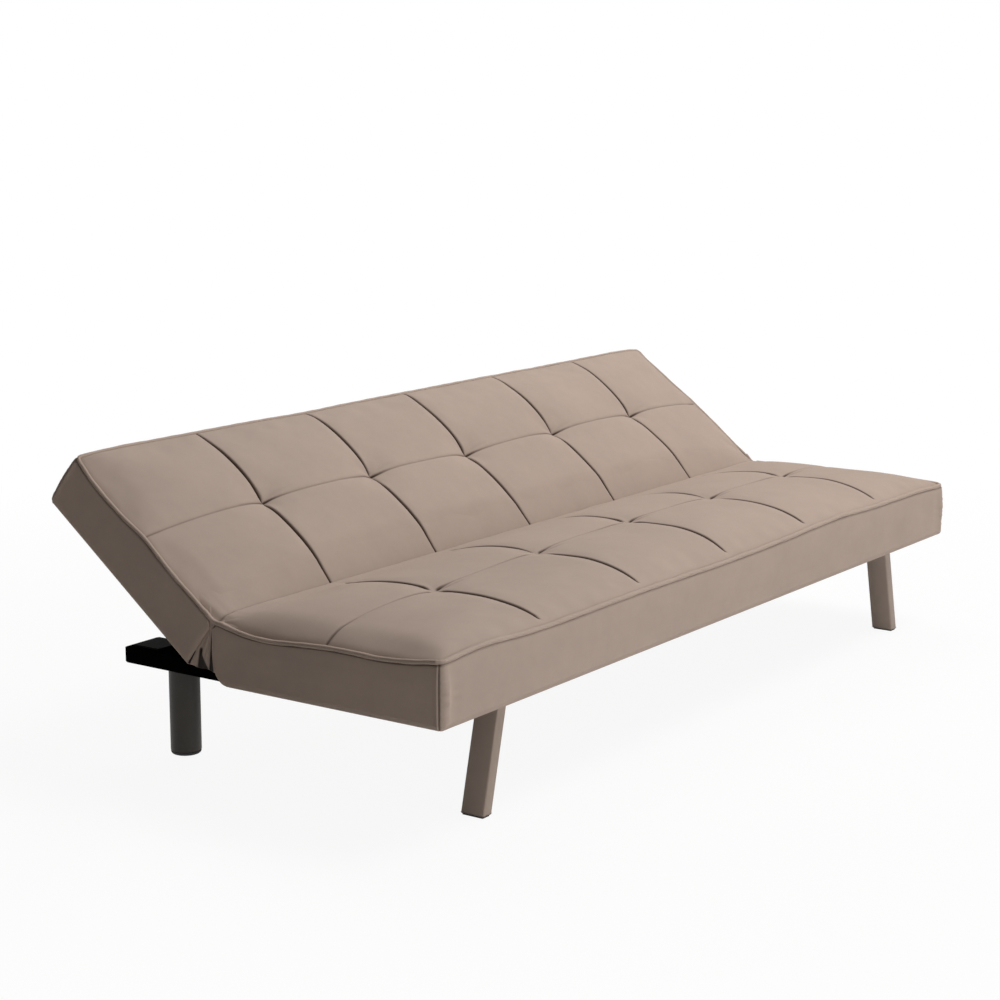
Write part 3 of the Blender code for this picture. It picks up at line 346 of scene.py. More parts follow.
class Finish:
    """A material, or the world's light, being built from nodes round one shader."""

    def __init__(self, name, world=False):
        self.material = (bpy.data.worlds if world else bpy.data.materials).new(name)
        self.material.use_nodes = True
        self.tree = self.material.node_tree
        self.shader = self.tree.nodes["Background" if world else "Principled BSDF"]

    def node(self, kind, settings=None, sockets=None, out=0):
        """Adds a node, sets it, feeds its sockets with values or links, and gives one of its outputs."""
        made = self.tree.nodes.new(kind)
        for key, value in (settings or {}).items():
            if key == "stops":
                ramp = made.color_ramp
                for i, (place, colour) in enumerate(value):
                    stop = ramp.elements[i] if i < 2 else ramp.elements.new(place)
                    stop.position = place
                    stop.color = (*colour, 1.0)
            else:
                setattr(made, key, value)
        for key, value in (sockets or {}).items():
            self.feed(made.inputs[key], value)
        return Value(self, made.outputs[out])

    def feed(self, socket, value):
        if isinstance(value, Value):
            self.tree.links.new(value.socket, socket)
        elif hasattr(value, "__len__") and len(value) == 3 and socket.type == "RGBA":
            socket.default_value = (*value, 1.0)
        else:
            socket.default_value = value

    def set(self, **sockets):
        for key, value in sockets.items():
            self.feed(self.shader.inputs[key.replace("_", " ")], value)

    def place(self, scale=(1, 1, 1)):
        """Object coordinates, scaled along each axis."""
        where = self.node("ShaderNodeTexCoord", out="Object")
        return self.node("ShaderNodeMapping", {}, {"Vector": where, "Scale": scale})

    def noise(self, vector, scale, detail=3.0, roughness=0.55):
        sockets = {"Vector": vector, "Scale": scale, "Detail": detail, "Roughness": roughness}
        return self.node("ShaderNodeTexNoise", {}, sockets)

    def wave(self, vector, direction, scale, distortion, detail):
        sockets = {"Vector": vector, "Scale": scale, "Distortion": distortion, "Detail": detail}
        return self.node("ShaderNodeTexWave", {"bands_direction": direction}, sockets)

    def mark(self, name):
        """A value stored on the mesh's points."""
        return self.node("ShaderNodeAttribute", {"attribute_name": name}, out="Fac")

    def ramp(self, value, *stops):
        return self.node("ShaderNodeValToRGB", {"stops": stops}, {"Fac": value})

    def spread(self, value, low, high):
        """Stretches a value from one range to 0..1, clamped."""
        sockets = {"Value": value, 1: low, 2: high}
        return self.node("ShaderNodeMapRange", {"clamp": True}, sockets)

    def mix(self, factor, first, second):
        """Mixes two colours."""
        sockets = {"Factor": factor, 6: first, 7: second}
        return self.node("ShaderNodeMix", {"data_type": "RGBA"}, sockets, out=2)

    def bump(self, height, strength, distance):
        sockets = {"Height": height, "Strength": strength, "Distance": distance}
        self.set(Normal=self.node("ShaderNodeBump", {}, sockets))


def tint(colour, factor):
    return tuple(channel * factor for channel in colour)


def fabric_finish(name, base, seam_colour):
    """Short-pile cloth: brushed nap, fine weave, painted shade darker and duller down in the seams."""
    made = Finish(name)
    uv = made.node("ShaderNodeUVMap", {"uv_map": "cloth"})
    where = made.place()
    nap = made.noise(where, 7.0, 4.0, 0.6)
    cloud = made.noise(where, 38.0, 3.0, 0.6)
    pile = made.noise(where, 900.0, 2.0, 0.7)
    warp = made.wave(uv, "X", 240.0, 1.2, 1.0)
    weft = made.wave(uv, "Y", 240.0, 1.2, 1.0)
    weave = warp * weft
    brushed = made.spread(nap * 0.55 + cloud * 0.30 + pile * 0.15, 0.30, 0.70)
    colour = made.mix(brushed, tint(base, 0.93), tint(base, 1.07))
    colour = made.mix(weave * 0.10, colour, tint(base, 0.70))
    seam = made.mark("seam")
    worn = made.mark("worn")
    # Paler where the cloth is worn, and painted highlight on the cords, welts and puckers
    colour = made.mix(worn * 0.35, colour, tint(base, 1.30))
    # Painted shade down in the seams, under the piping, in the crease and at the gussets' edges
    colour = made.mix(seam, colour, seam_colour)
    # Painted shade: near black down in the deep folds of the gussets
    slit = made.mark("slit")
    made.set(Base_Color=made.mix(slit, colour, tint(seam_colour, 0.1)))
    made.set(Roughness=0.80 + 0.14 * cloud)
    made.set(Sheen_Weight=0.22, Sheen_Roughness=0.45, Specular_IOR_Level=0.22)
    made.shader.inputs["Sheen Tint"].default_value = (*tint(base, 1.9), 1.0)
    made.bump(weave * 0.45 + pile * 0.55, 0.22, 0.0006)
    return made.material


def paint_finish(name, base, rough, speckle, shine):
    """Sprayed paint: faint orange peel and a little wear of the gloss."""
    made = Finish(name)
    where = made.place()
    peel = made.noise(where, 420.0, 2.0)
    cloud = made.noise(where, 16.0, 4.0)
    mottle = made.spread(cloud, 0.3, 0.7)
    made.set(Base_Color=made.mix(mottle, tint(base, 1 - speckle), tint(base, 1 + speckle)))
    made.set(Roughness=rough - 0.06 + 0.14 * cloud, Specular_IOR_Level=shine)
    made.bump(peel, 0.10, 0.0005)
    return made.material


def wood_finish(name, base):
    """Sawn softwood: growth rings drawn out along the length, with saw marks."""
    made = Finish(name)
    where = made.place((6.0, 60.0, 60.0))
    rings = made.wave(where, "Y", 0.6, 6.0, 3.0)
    fibre = made.noise(made.place((30.0, 700.0, 700.0)), 1.0, 3.0)
    grain = rings * 0.65 + fibre * 0.35
    made.set(Base_Color=made.ramp(grain, (0.15, tint(base, 1.12)), (0.85, tint(base, 0.72))))
    made.set(Roughness=0.55 + 0.20 * fibre)
    made.bump(grain, 0.18, 0.0006)
    return made.material


def metal_finish(name, base, rough, mottle):
    """Drawn or plated steel: fine scratches, and the spangle of plating."""
    made = Finish(name)
    where = made.place()
    spangle = made.node("ShaderNodeTexVoronoi", {}, {"Vector": where, "Scale": 160.0}, out="Color")
    grey = made.node("ShaderNodeRGBToBW", {}, {"Color": spangle})
    scratch = made.noise(made.place((1500.0, 60.0, 60.0)), 1.0, 2.0)
    made.set(Base_Color=made.mix(grey * mottle, base, tint(base, 0.72)))
    made.set(Roughness=rough + 0.16 * scratch, Metallic=1.0)
    made.bump(scratch, 0.06, 0.0003)
    return made.material


def fibre_finish(name, base, scale):
    """Felt, webbing or pressed non-woven cloth: short matted fibres."""
    made = Finish(name)
    where = made.place()
    fine = made.noise(where, scale, 4.0, 0.7)
    cloud = made.noise(where, scale / 14, 2.0)
    matted = made.spread(fine * 0.6 + cloud * 0.4, 0.3, 0.7)
    made.set(Base_Color=made.mix(matted, tint(base, 0.7), tint(base, 1.35)))
    made.set(Roughness=0.86 + 0.12 * fine)
    made.set(Sheen_Weight=0.02, Specular_IOR_Level=0.08)
    made.bump(fine, 0.35, 0.0008)
    return made.material


def rubber_finish(name, base):
    """Moulded rubber: dull, with a fine spark texture and scuffs."""
    made = Finish(name)
    where = made.place()
    grit = made.noise(where, 1400.0, 2.0)
    scuff = made.noise(where, 70.0, 4.0, 0.7)
    made.set(Base_Color=made.mix(made.spread(scuff, 0.45, 0.8), base, tint(base, 2.2)))
    made.set(Roughness=0.62 + 0.22 * scuff)
    made.bump(grit, 0.15, 0.0004)
    return made.material


LOOKS = {}


def make_looks():
    """One material for each finish on the sofa bed."""
    tone = colours()
    LOOKS.update(
        fabric=fabric_finish("taupe_suede_cloth", tone.fabric[:], tone.seam[:]),
        leg=paint_finish("taupe_leg_paint", tone.leg[:], 0.46, 0.05, 0.4),
        post=paint_finish("graphite_post_paint", tone.post[:], 0.45, 0.10, 0.3),
        arm=paint_finish("matt_black_arm_paint", tone.arm[:], 0.85, 0.15, 0.0),
        rubber=rubber_finish("black_foot_rubber", tone.rubber[:]),
        dust=fibre_finish("pressed_dust_cloth", tone.dust_cloth[:], 900.0),
        felt=fibre_finish("grey_pad_felt", tone.felt[:], 1100.0),
        webbing=fibre_finish("elastic_webbing", tone.webbing[:], 700.0),
        pine=wood_finish("sawn_pine", tone.pine[:]),
        steel=metal_finish("drawn_steel", tone.steel[:], 0.28, 0.1),
        zinc=metal_finish("zinc_plating", tone.zinc[:], 0.36, 0.6),
    )


def clear_selection():
    if bpy.context.mode != "OBJECT":
        bpy.ops.object.mode_set(mode="OBJECT")
    bpy.ops.object.select_all(action="DESELECT")


def make_active(obj):
    clear_selection()
    obj.select_set(True)
    bpy.context.view_layer.objects.active = obj


def apply_modifiers(obj):
    make_active(obj)
    for change in list(obj.modifiers):
        bpy.ops.object.modifier_apply(modifier=change.name)


def settle_transform(obj):
    """Moves an object's place into its mesh."""
    make_active(obj)
    bpy.ops.object.transform_apply(location=True, rotation=True, scale=True)


def pick(obj, kind, test):
    """In edit mode, selects just the faces, edges or verts that pass a test."""
    bpy.ops.mesh.select_mode(type=kind)
    bpy.ops.mesh.select_all(action="DESELECT")
    bm = bmesh.from_edit_mesh(obj.data)
    for item in {"FACE": bm.faces, "EDGE": bm.edges, "VERT": bm.verts}[kind]:
        if test(item):
            item.select_set(True)
    bm.select_flush(True)
    bmesh.update_edit_mesh(obj.data)


def dress(obj, body, slot, look, *nodes):
    """Gives a finished piece its material and body, and hides the solids that it stands for; the record slot that
    it is handed is not used.
    """
    obj.data.materials.clear()
    obj.data.materials.append(LOOKS[look])
    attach(obj, body)
    if nodes:
        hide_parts(*nodes)
    return obj


def mesh_object(name, spots, faces, uvs=None, marks=None):
    """A smooth mesh object from points and faces, with a cloth UV map and point attributes."""
    mesh = bpy.data.meshes.new(name)
    mesh.from_pydata([tuple(spot) for spot in spots], [], faces)
    if uvs is not None:
        layer = mesh.uv_layers.new(name="cloth")
        corners = np.empty(len(mesh.loops), int)
        mesh.loops.foreach_get("vertex_index", corners)
        layer.data.foreach_set("uv", np.asarray(uvs, np.float32)[corners].ravel())
    for key, values in (marks or {}).items():
        mark = mesh.attributes.new(key, "FLOAT", "POINT")
        mark.data.foreach_set("value", np.asarray(values, np.float32))
    mesh.shade_smooth()
    obj = bpy.data.objects.new(name, mesh)
    bpy.context.scene.collection.objects.link(obj)
    return obj


def grid_faces(rows, columns):
    """Quads of a grid of points stored row by row."""
    starts = [j * columns + i for j in range(rows - 1) for i in range(columns - 1)]
    return [(k, k + 1, k + columns + 1, k + columns) for k in starts]


def thicken(obj, thickness, offset=-1):
    """Gives a sheet of cloth its thickness."""
    wall = obj.modifiers.new("cloth", "SOLIDIFY")
    wall.thickness = thickness
    wall.offset = offset
    apply_modifiers(obj)


def dress_crossing(obj):
    """Finishes a piece of cover cloth that bends across the fold from the seat to the back."""
    obj.data.materials.clear()
    obj.data.materials.append(LOOKS["fabric"])
    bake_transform(obj)


def lay_sheet(name, slab, x, p, n, flat, thickness):
    """A sheet of cloth over a grid of slab places, with thickness to both sides."""
    spots = slab.world(x, p, n).reshape(-1, 3)
    uvs = np.stack(flat, axis=-1).reshape(-1, 2)
    marks = {"seam": np.zeros(len(spots)), "worn": np.zeros(len(spots))}
    obj = mesh_object(name, spots, grid_faces(*x.shape), uvs, marks)
    thicken(obj, thickness, 0)
    fix_normals(obj)
    return obj


def begin_edit(name):
    """Names the primitive just added, settles its place and opens it for editing."""
    obj = bpy.context.object
    obj.name = name
    settle_transform(obj)
    bpy.ops.object.mode_set(mode="EDIT")
    return obj


def bevel(obj, kind, test, offset, segments):
    """Rounds over the edges of what passes a test."""
    pick(obj, kind, test)
    bpy.ops.mesh.bevel(offset=offset, segments=segments, affect="EDGES")


def end_edit(angle=SMOOTH_ANGLE):
    """Closes editing and smooths all but the edges sharper than an angle."""
    bpy.ops.object.mode_set(mode="OBJECT")
    bpy.ops.object.shade_smooth_by_angle(angle=angle)


def fix_normals(obj):
    """Turns every face outwards."""
    make_active(obj)
    bpy.ops.object.mode_set(mode="EDIT")
    bpy.ops.mesh.select_all(action="SELECT")
    bpy.ops.mesh.normals_make_consistent(inside=False)
    bpy.ops.object.mode_set(mode="OBJECT")


def crease_line(n):
    """Distance of a slab's edge from the crease plane: above the axis the slabs lean apart."""
    return CREASE_GAP + np.maximum(n, 0.0) * math.tan(UPRIGHT / 2)


def ease(value, low, high):
    """Smooth step from 0 at low to 1 at high."""
    part = np.clip((np.asarray(value, float) - low) / (high - low), 0, 1)
    return part * part * (3 - 2 * part)


def ramp(distance, width):
    """Rises from 0 at no distance to 1 at a width, levelling off."""
    part = np.clip(np.asarray(distance, float) / width, 0, 1)
    return part * (2 - part)


def bell(distance, width, power=2):
    """1 at no distance, falling off smoothly over a width."""
    return np.exp(-((distance / width) ** power))


def through(t, knots):
    """A smooth line through even knots over 0..1."""
    values = np.pad(np.asarray(knots, float), 1, mode="reflect", reflect_type="odd")
    place = np.clip(np.asarray(t, float), 0, 1) * (len(knots) - 1)
    cell = np.minimum(place.astype(int), len(knots) - 2)
    part = place - cell
    a, b, c, d = (values[cell + k] for k in range(4))
    return b + part / 2 * (c - a + part * (2 * a - 5 * b + 4 * c - d + part * (3 * (b - c) + d - a)))


def ripple(a, b, size, seed):
    """Small uneven waves of about one height, the same each time for one seed."""
    draw = np.random.default_rng(seed)
    total = np.zeros(np.broadcast(a, b).shape)
    for _ in range(7):
        turn = draw.uniform(0, math.pi)
        pitch = size * draw.uniform(0.7, 1.6)
        wave = (np.cos(turn) * a + np.sin(turn) * b) * 2 * math.pi / pitch
        total = total + np.sin(wave + draw.uniform(0, 2 * math.pi))
    return total / 2.6


def graded(start, end, first, most):
    """Grid lines between two seams, close together beside each of them."""
    half = (end - start) / 2
    offsets = [0.0]
    step = first
    while offsets[-1] + step < half - step / 2:
        offsets.append(offsets[-1] + step)
        step = min(step * 1.38, most)
    return [start + d for d in offsets] + [start + half] + [end - d for d in reversed(offsets)]


def graded_lines(stops, first, most):
    lines = []
    for start, end in zip(stops, stops[1:]):
        lines += graded(start, end, first, most)[:-1]
    return np.array([*lines, stops[-1]])


def seam_places():
    """Cross seams along the length."""
    count = covers().column_count
    return [covers().column_pitch * (i - count / 2) for i in range(1, count)]


def row_place(near, far):
    """Where the lengthwise seam lies between the crease and the far edge."""
    return near + (far - near) * ROW_SHARE


def rim_order(rows, columns):
    """Numbers of the points round a grid, in turn."""
    rim = [*range(columns), *(j * columns + columns - 1 for j in range(1, rows))]
    rim += range(rows * columns - 2, (rows - 1) * columns - 1, -1)
    return rim + [j * columns for j in range(rows - 2, 0, -1)]


def least(*shares):
    """Smooth least of several shares between 0 and 1."""
    total = sum(np.maximum(share, 1e-3) ** -3.0 for share in shares) - (len(shares) - 1)
    return total ** (-1 / 3)


def nearest_seam(x):
    """Signed distance along the length from the nearest cross seam."""
    offset = np.asarray(x, float)[..., None] - np.array(seam_places())
    return np.take_along_axis(offset, np.abs(offset).argmin(axis=-1)[..., None], axis=-1)[..., 0]


def rim_wave(slab, x, p):
    """How far the edge stands off the rim's plane, fading inwards from the piping."""
    size = covers()
    near, far = float(crease_line(slab.rim)), slab.reach - size.piping_inset
    along = (p - near) / (far - near)
    side = np.where(np.asarray(x) < 0, through(along, slab.left_wave), through(along, slab.right_wave))
    front = through((x / HALF + 1) / 2, slab.far_wave)
    beside = 1 - ramp(HALF - size.piping_inset - np.abs(x), size.wave_reach)
    before = 1 - ramp(far - p, size.wave_reach)
    return (beside * side + before * front) / np.maximum(1, beside + before)


def cover_height(slab, x, p, near, far, half):
    """Height of the tufted cover over the piping's plane, before its narrow grooves."""
    size = covers()
    nearest, to_row = nearest_seam(x), p - row_place(near, far)
    gaps = {"end": half - np.abs(x), "far": far - p, "crease": p - near}
    rises = {key: ramp(gaps[key], width) ** power for key, (width, power) in slab.rises.items()}
    fullness = np.where(x < 0, 1.0, slab.right_end)
    edge = least(rises["end"] ** fullness, rises["far"], rises["crease"])
    rise = np.maximum(edge * through((x / half + 1) / 2, slab.crowns), 1e-5)
    room = np.maximum(p - near, 1e-5) / math.tan(UPRIGHT / 2)
    rise = (rise ** -4 + room ** -4) ** -0.25
    from_tuft = np.hypot(np.hypot(nearest, to_row), size.tuft_round)
    drop = slab.tuft_drop * np.exp(-from_tuft / slab.tuft_reach)
    beside_seam = np.minimum(np.abs(nearest), np.abs(to_row))
    drop = drop + VALLEY_DEPTH * np.exp(-beside_seam / size.valley_reach)
    end_groove = np.where(x < 0, slab.end_groove[0], slab.end_groove[1])
    sunk = end_groove * bell(gaps["end"], size.rim_drop_reach)
    sunk = np.maximum(sunk, slab.far_groove * bell(gaps["far"], size.rim_drop_reach))
    return rise - drop * np.minimum(edge * 1.6, 1) + rim_wave(slab, x, p) - size.rim_drop * sunk


def cover_span(slab):
    """Crease edge, far edge and half length of a slab's tufted face."""
    inset = covers().piping_inset + slab.pipe_radius * 0.5
    return float(crease_line(slab.rim)), slab.reach - inset, HALF - inset


def settled(slab, xs, ps):
    """How far the cloth moved as it settled, on a finer grid."""
    coarse_x, coarse_p, moved = slab.cloth
    weights_p, weights_x = cubic_weights(ps, coarse_p), cubic_weights(xs, coarse_x)
    return np.stack([weights_p @ moved[..., k] @ weights_x.T for k in range(3)], axis=-1)


def settle_cloth(slab, xs, ps, heights, near, far, half):
    """Blows a coarse copy of the cover up under its seams as cloth and gives how far each point moved."""
    size = covers()
    rows, columns = heights.shape
    grid_x, grid_p = np.meshgrid(xs, ps)
    top = np.stack([grid_x, grid_p, heights], axis=-1).reshape(-1, 3)
    base = top.copy()
    base[:, 2] = FORM_BASE
    count = rows * columns
    faces = grid_faces(rows, columns)
    faces += [tuple(reversed([i + count for i in face])) for face in grid_faces(rows, columns)]
    rim = rim_order(rows, columns)
    faces += [(rim[i - 1], rim[i - 1] + count, rim[i] + count, rim[i]) for i in range(len(rim))]
    obj = mesh_object(f"{slab.name}_cloth_form", np.concatenate([top, base]), faces)
    fix_normals(obj)

    seams = np.array(seam_places())
    to_cross = np.abs(grid_x[..., None] - seams).min(axis=-1)
    to_row = np.abs(grid_p - row_place(near, far))
    hold = np.maximum(bell(to_cross, 0.008) * CROSS_HOLD, bell(to_row, 0.008) * ROW_HOLD)
    hold = np.maximum(hold, bell(np.hypot(to_cross, to_row), 0.012))
    at_rim = (np.abs(grid_x) > half - 1e-6) | (grid_p < near + 1e-6) | (grid_p > far - 1e-6)
    hold = np.where(at_rim, 1.0, hold)
    group = obj.vertex_groups.new(name="sewn")
    for i, weight in enumerate(hold.ravel()):
        if weight > 0.02:
            group.add([i], float(weight), "REPLACE")
    group.add(list(range(count, 2 * count)), 1.0, "REPLACE")
    change = obj.modifiers.new("cloth", "CLOTH")
    cloth = change.settings
    for key, value in CLOTH_SETTINGS.items():
        setattr(cloth, key, value)
    cloth.effector_weights.gravity = 0.0
    change.collision_settings.use_collision = False
    change.collision_settings.use_self_collision = False
    scene = bpy.context.scene
    for step in range(1, CLOTH_STEPS + 1):
        scene.frame_set(step)
    made = obj.evaluated_get(bpy.context.evaluated_depsgraph_get()).to_mesh()
    spots = np.array([vert.co for vert in made.vertices])[:count]
    obj.evaluated_get(bpy.context.evaluated_depsgraph_get()).to_mesh_clear()
    scene.frame_set(1)
    moved = spots - top
    far_moved = np.linalg.norm(moved, axis=1, keepdims=True)
    moved *= np.minimum(1.0, size.cloth_cap / np.maximum(far_moved, 1e-9))
    bpy.data.objects.remove(obj)
    return moved.reshape(rows, columns, 3)


def cubic_weights(fine, coarse):
    """Weights that carry values on even coarse lines smoothly over to finer lines."""
    step = coarse[1] - coarse[0]
    made = np.zeros((len(fine), len(coarse)))
    for row, value in enumerate((np.asarray(fine) - coarse[0]) / step):
        cell = int(min(max(math.floor(value), 0), len(coarse) - 2))
        t = value - cell
        parts = (
            -0.5 * t + t * t - 0.5 * t ** 3,
            1 - 2.5 * t * t + 1.5 * t ** 3,
            0.5 * t + 2 * t * t - 1.5 * t ** 3,
            -0.5 * t * t + 0.5 * t ** 3,
        )
        for k, part in enumerate(parts):
            made[row, min(max(cell - 1 + k, 0), len(coarse) - 1)] += part
    return made


def seam_strength(slab, x, p, near, far, half):
    """How deep and dark the cross seams and the row seam are at each point, and how far the nearest lies."""
    tuft_p = row_place(near, far)
    nearest = nearest_seam(x)
    from_tuft = np.abs(p - tuft_p)
    cell = np.clip(from_tuft / np.where(p > tuft_p, far - tuft_p, tuft_p - near), 0, 1)
    cross = 0.45 + 0.55 * np.sin(math.pi * cell ** 0.85) ** 0.6
    cross = cross * ease(p - near, *slab.seam_start) * ease(far - p, slab.seam_stop, slab.seam_stop + 0.012)
    cross = cross * ease(from_tuft, slab.tuft_gap, slab.tuft_gap + 0.016)
    folds = []
    for strength, reach in (slab.fold_left, slab.fold_right):
        folds.append(strength * bell(np.abs(nearest), reach, 1.6))
    row = slab.row_line + np.where(nearest > 0, folds[1], folds[0])
    row = np.maximum(row, slab.end_line * bell(half - np.abs(x), 0.08))
    row = row * ease(half - np.abs(x), 0.0, 0.006)
    row = row * ease(np.abs(nearest), slab.tuft_gap - 0.004, slab.tuft_gap + 0.008)
    return cross, row, nearest


def make_tufted_cover(slab):
    """Foam and cover in one: a tufted, crowned face with sewn grooves, closed underneath."""
    size = covers()
    near, far, half = cover_span(slab)
    middle = row_place(near, far)
    coarse_x = np.linspace(-half, half, int(2 * half / CLOTH_GRID) + 1)
    coarse_p = np.linspace(near, far, int((far - near) / CLOTH_GRID) + 1)
    grid_x, grid_p = np.meshgrid(coarse_x, coarse_p)
    start = cover_height(slab, grid_x, grid_p, near, far, half)
    slab.cloth = (coarse_x, coarse_p, settle_cloth(slab, coarse_x, coarse_p, start, near, far, half))

    xs = graded_lines([-half, *seam_places(), half], SEAM_STEP, COVER_STEP)
    ps = graded_lines([near, middle, far], SEAM_STEP, COVER_STEP)
    x, p = np.meshgrid(xs, ps)
    shift = settled(slab, xs, ps)
    cross, row, nearest = seam_strength(slab, x, p, near, far, half)
    to_cross, to_row = np.abs(nearest), np.abs(p - middle)
    groove = np.maximum(cross * bell(to_cross, size.seam_width), row * bell(to_row, size.seam_width))
    lip_line = p - middle - 0.006 - 0.10 * np.maximum(nearest, 0)
    lip = bell(lip_line, 0.0030) * ease(nearest, 0.006, 0.03) * (1 - ease(nearest, 0.03, 0.09))
    # Painted shade along the grooves of the cross seams and the row seam
    dark = np.maximum(
        bell(to_cross, slab.ink * np.maximum(cross, 0.05), 4) * ease(cross, 0.04, 0.30),
        bell(to_row, slab.row_ink * np.maximum(row, 0.10) ** 0.5, 4) * np.clip(row * 1.5, 0, 1),
    )
    reach = np.hypot(to_cross, to_row)
    turn = np.arctan2(p - middle, nearest)
    pucker = bell(reach - 0.022, 0.016) * np.cos(5 * turn + 9 * np.round(x / size.column_pitch))
    rim_gap = np.minimum(np.minimum(half - np.abs(x), far - p), (p - near) * 2)
    slack = bell(rim_gap - 0.022, 0.022) * ripple(x, p, 0.075, SLACK_SEEDS[slab.name])
    to_corner = np.hypot(half - np.abs(x), (far if slab is SEAT else near) - p)
    spoke = np.arctan2(half - np.abs(x), np.abs(p - near)) * 11 + to_corner * 60
    corner = bell(to_corner, 0.055) * np.sin(spoke)
    to_end = np.hypot(half - np.abs(x), p - near)
    spoke = np.arctan2(p - near, half - np.abs(x)) * 7 + 0.8
    crush = bell(to_end - 0.018, 0.020) * np.sin(spoke)
    height = cover_height(slab, x, p, near, far, half) + shift[..., 2] - size.seam_depth * groove
    height = height - LIP_DEPTH * lip * slab.lip + PUCKER_HEIGHT * pucker + SLACK_HEIGHT * slack
    lumps = ripple(x, p, 0.16, LUMP_SEED)
    height = height + CORNER_HEIGHT * corner + CRUSH_HEIGHT * crush + LUMP_HEIGHT * lumps
    top = slab.world(x + shift[..., 0], p + shift[..., 1], slab.rim + height)
    # Painted shade: dark lines just inside the piping at the ends and along the far edge
    end_ink = np.where(x < 0, slab.end_ink[0], slab.end_ink[1])
    edge_line = end_ink * bell(half - np.abs(x), 0.0016)
    edge_line = np.maximum(edge_line, slab.far_ink * bell(far - p, 0.0014))
    # All the painted shade, with a little more along the fold of the lip
    seam = np.clip(np.maximum(dark + 0.30 * lip * slab.lip, edge_line), 0, 1)
    worn = np.clip(ripple(x, p, 0.30, WEAR_SEED) * 0.5, 0, 1) * ease(rim_gap, 0.01, 0.06) * 0.25

    rows, columns = x.shape
    spots = [top.reshape(-1, 3)]
    uvs = [np.stack([x, p], axis=-1).reshape(-1, 2)]
    faces = grid_faces(rows, columns)
    rim = rim_order(rows, columns)
    rim_x, rim_p, rim_h = x.ravel()[rim], p.ravel()[rim], height.ravel()[rim]
    before, count = rim, rows * columns
    lowest = float(rim_h.min())
    for drop, tuck in ((0.010, 0.0), (slab.rim, 0.001), (slab.rim + 0.018, 0.004)):
        n = slab.rim - drop
        at_crease = rim_p <= near + HAIR
        ring_p = np.where(at_crease, crease_line(n) + 0.0006, rim_p - tuck * (rim_p >= far - HAIR))
        ring_x = rim_x - np.sign(rim_x) * tuck * (np.abs(rim_x) >= half - HAIR)
        sink = rim_h if drop < 0.012 else lowest
        spots.append(slab.world(ring_x, ring_p, n + np.where(at_crease, 0, sink)))
        uvs.append(np.stack([rim_x, rim_p - drop], axis=-1))
        ring = list(range(count, count + len(rim)))
        faces += [(before[i - 1], ring[i - 1], ring[i], before[i]) for i in range(len(rim))]
        before, count = ring, count + len(rim)
    faces.append(tuple(reversed(before)))
    spare = np.zeros(count - rows * columns)
    marks = {"seam": np.concatenate([seam.ravel(), spare]), "worn": np.concatenate([worn.ravel(), spare])}
    obj = mesh_object(f"{slab.name}_tufted_cover", np.concatenate(spots), faces, np.concatenate(uvs), marks)
    fix_normals(obj)
    dress(obj, slab.name, "taupe_fabric", "fabric", f"{slab.name}_cushion")


def side_start(slab, n):
    """Where the side boxing begins, beyond the crease, at height n: rounded at the lower rear corner."""
    start = crease_line(n)
    if slab.corner_round:
        lift = np.clip(slab.corner_round - (n - slab.under), 0, slab.corner_round)
        start = start + slab.corner_round - np.sqrt(slab.corner_round ** 2 - lift ** 2)
    return start


def plan_path(slab, inset, corner, step):
    """A path round three sides, finer beside the corners."""
    half, far = HALF - inset, slab.reach - inset
    along = np.linspace(0, 1, int((far - corner) / step) + 1)
    inner = half - corner
    fine = np.linspace(inner, inner - 0.060, 26)[:-1]
    wide = np.linspace(-inner + 0.060, inner - 0.060, int(2 * inner / step) + 1)
    across = np.concatenate([-fine, wide, fine[::-1]])
    turns = np.linspace(0, math.pi / 2, 15)[1:-1]
    return half, far, along, across, turns


def pipe_height(slab, x, p):
    """Height of the piping's middle at a point of its path."""
    return slab.rim + rim_wave(slab, x, p)


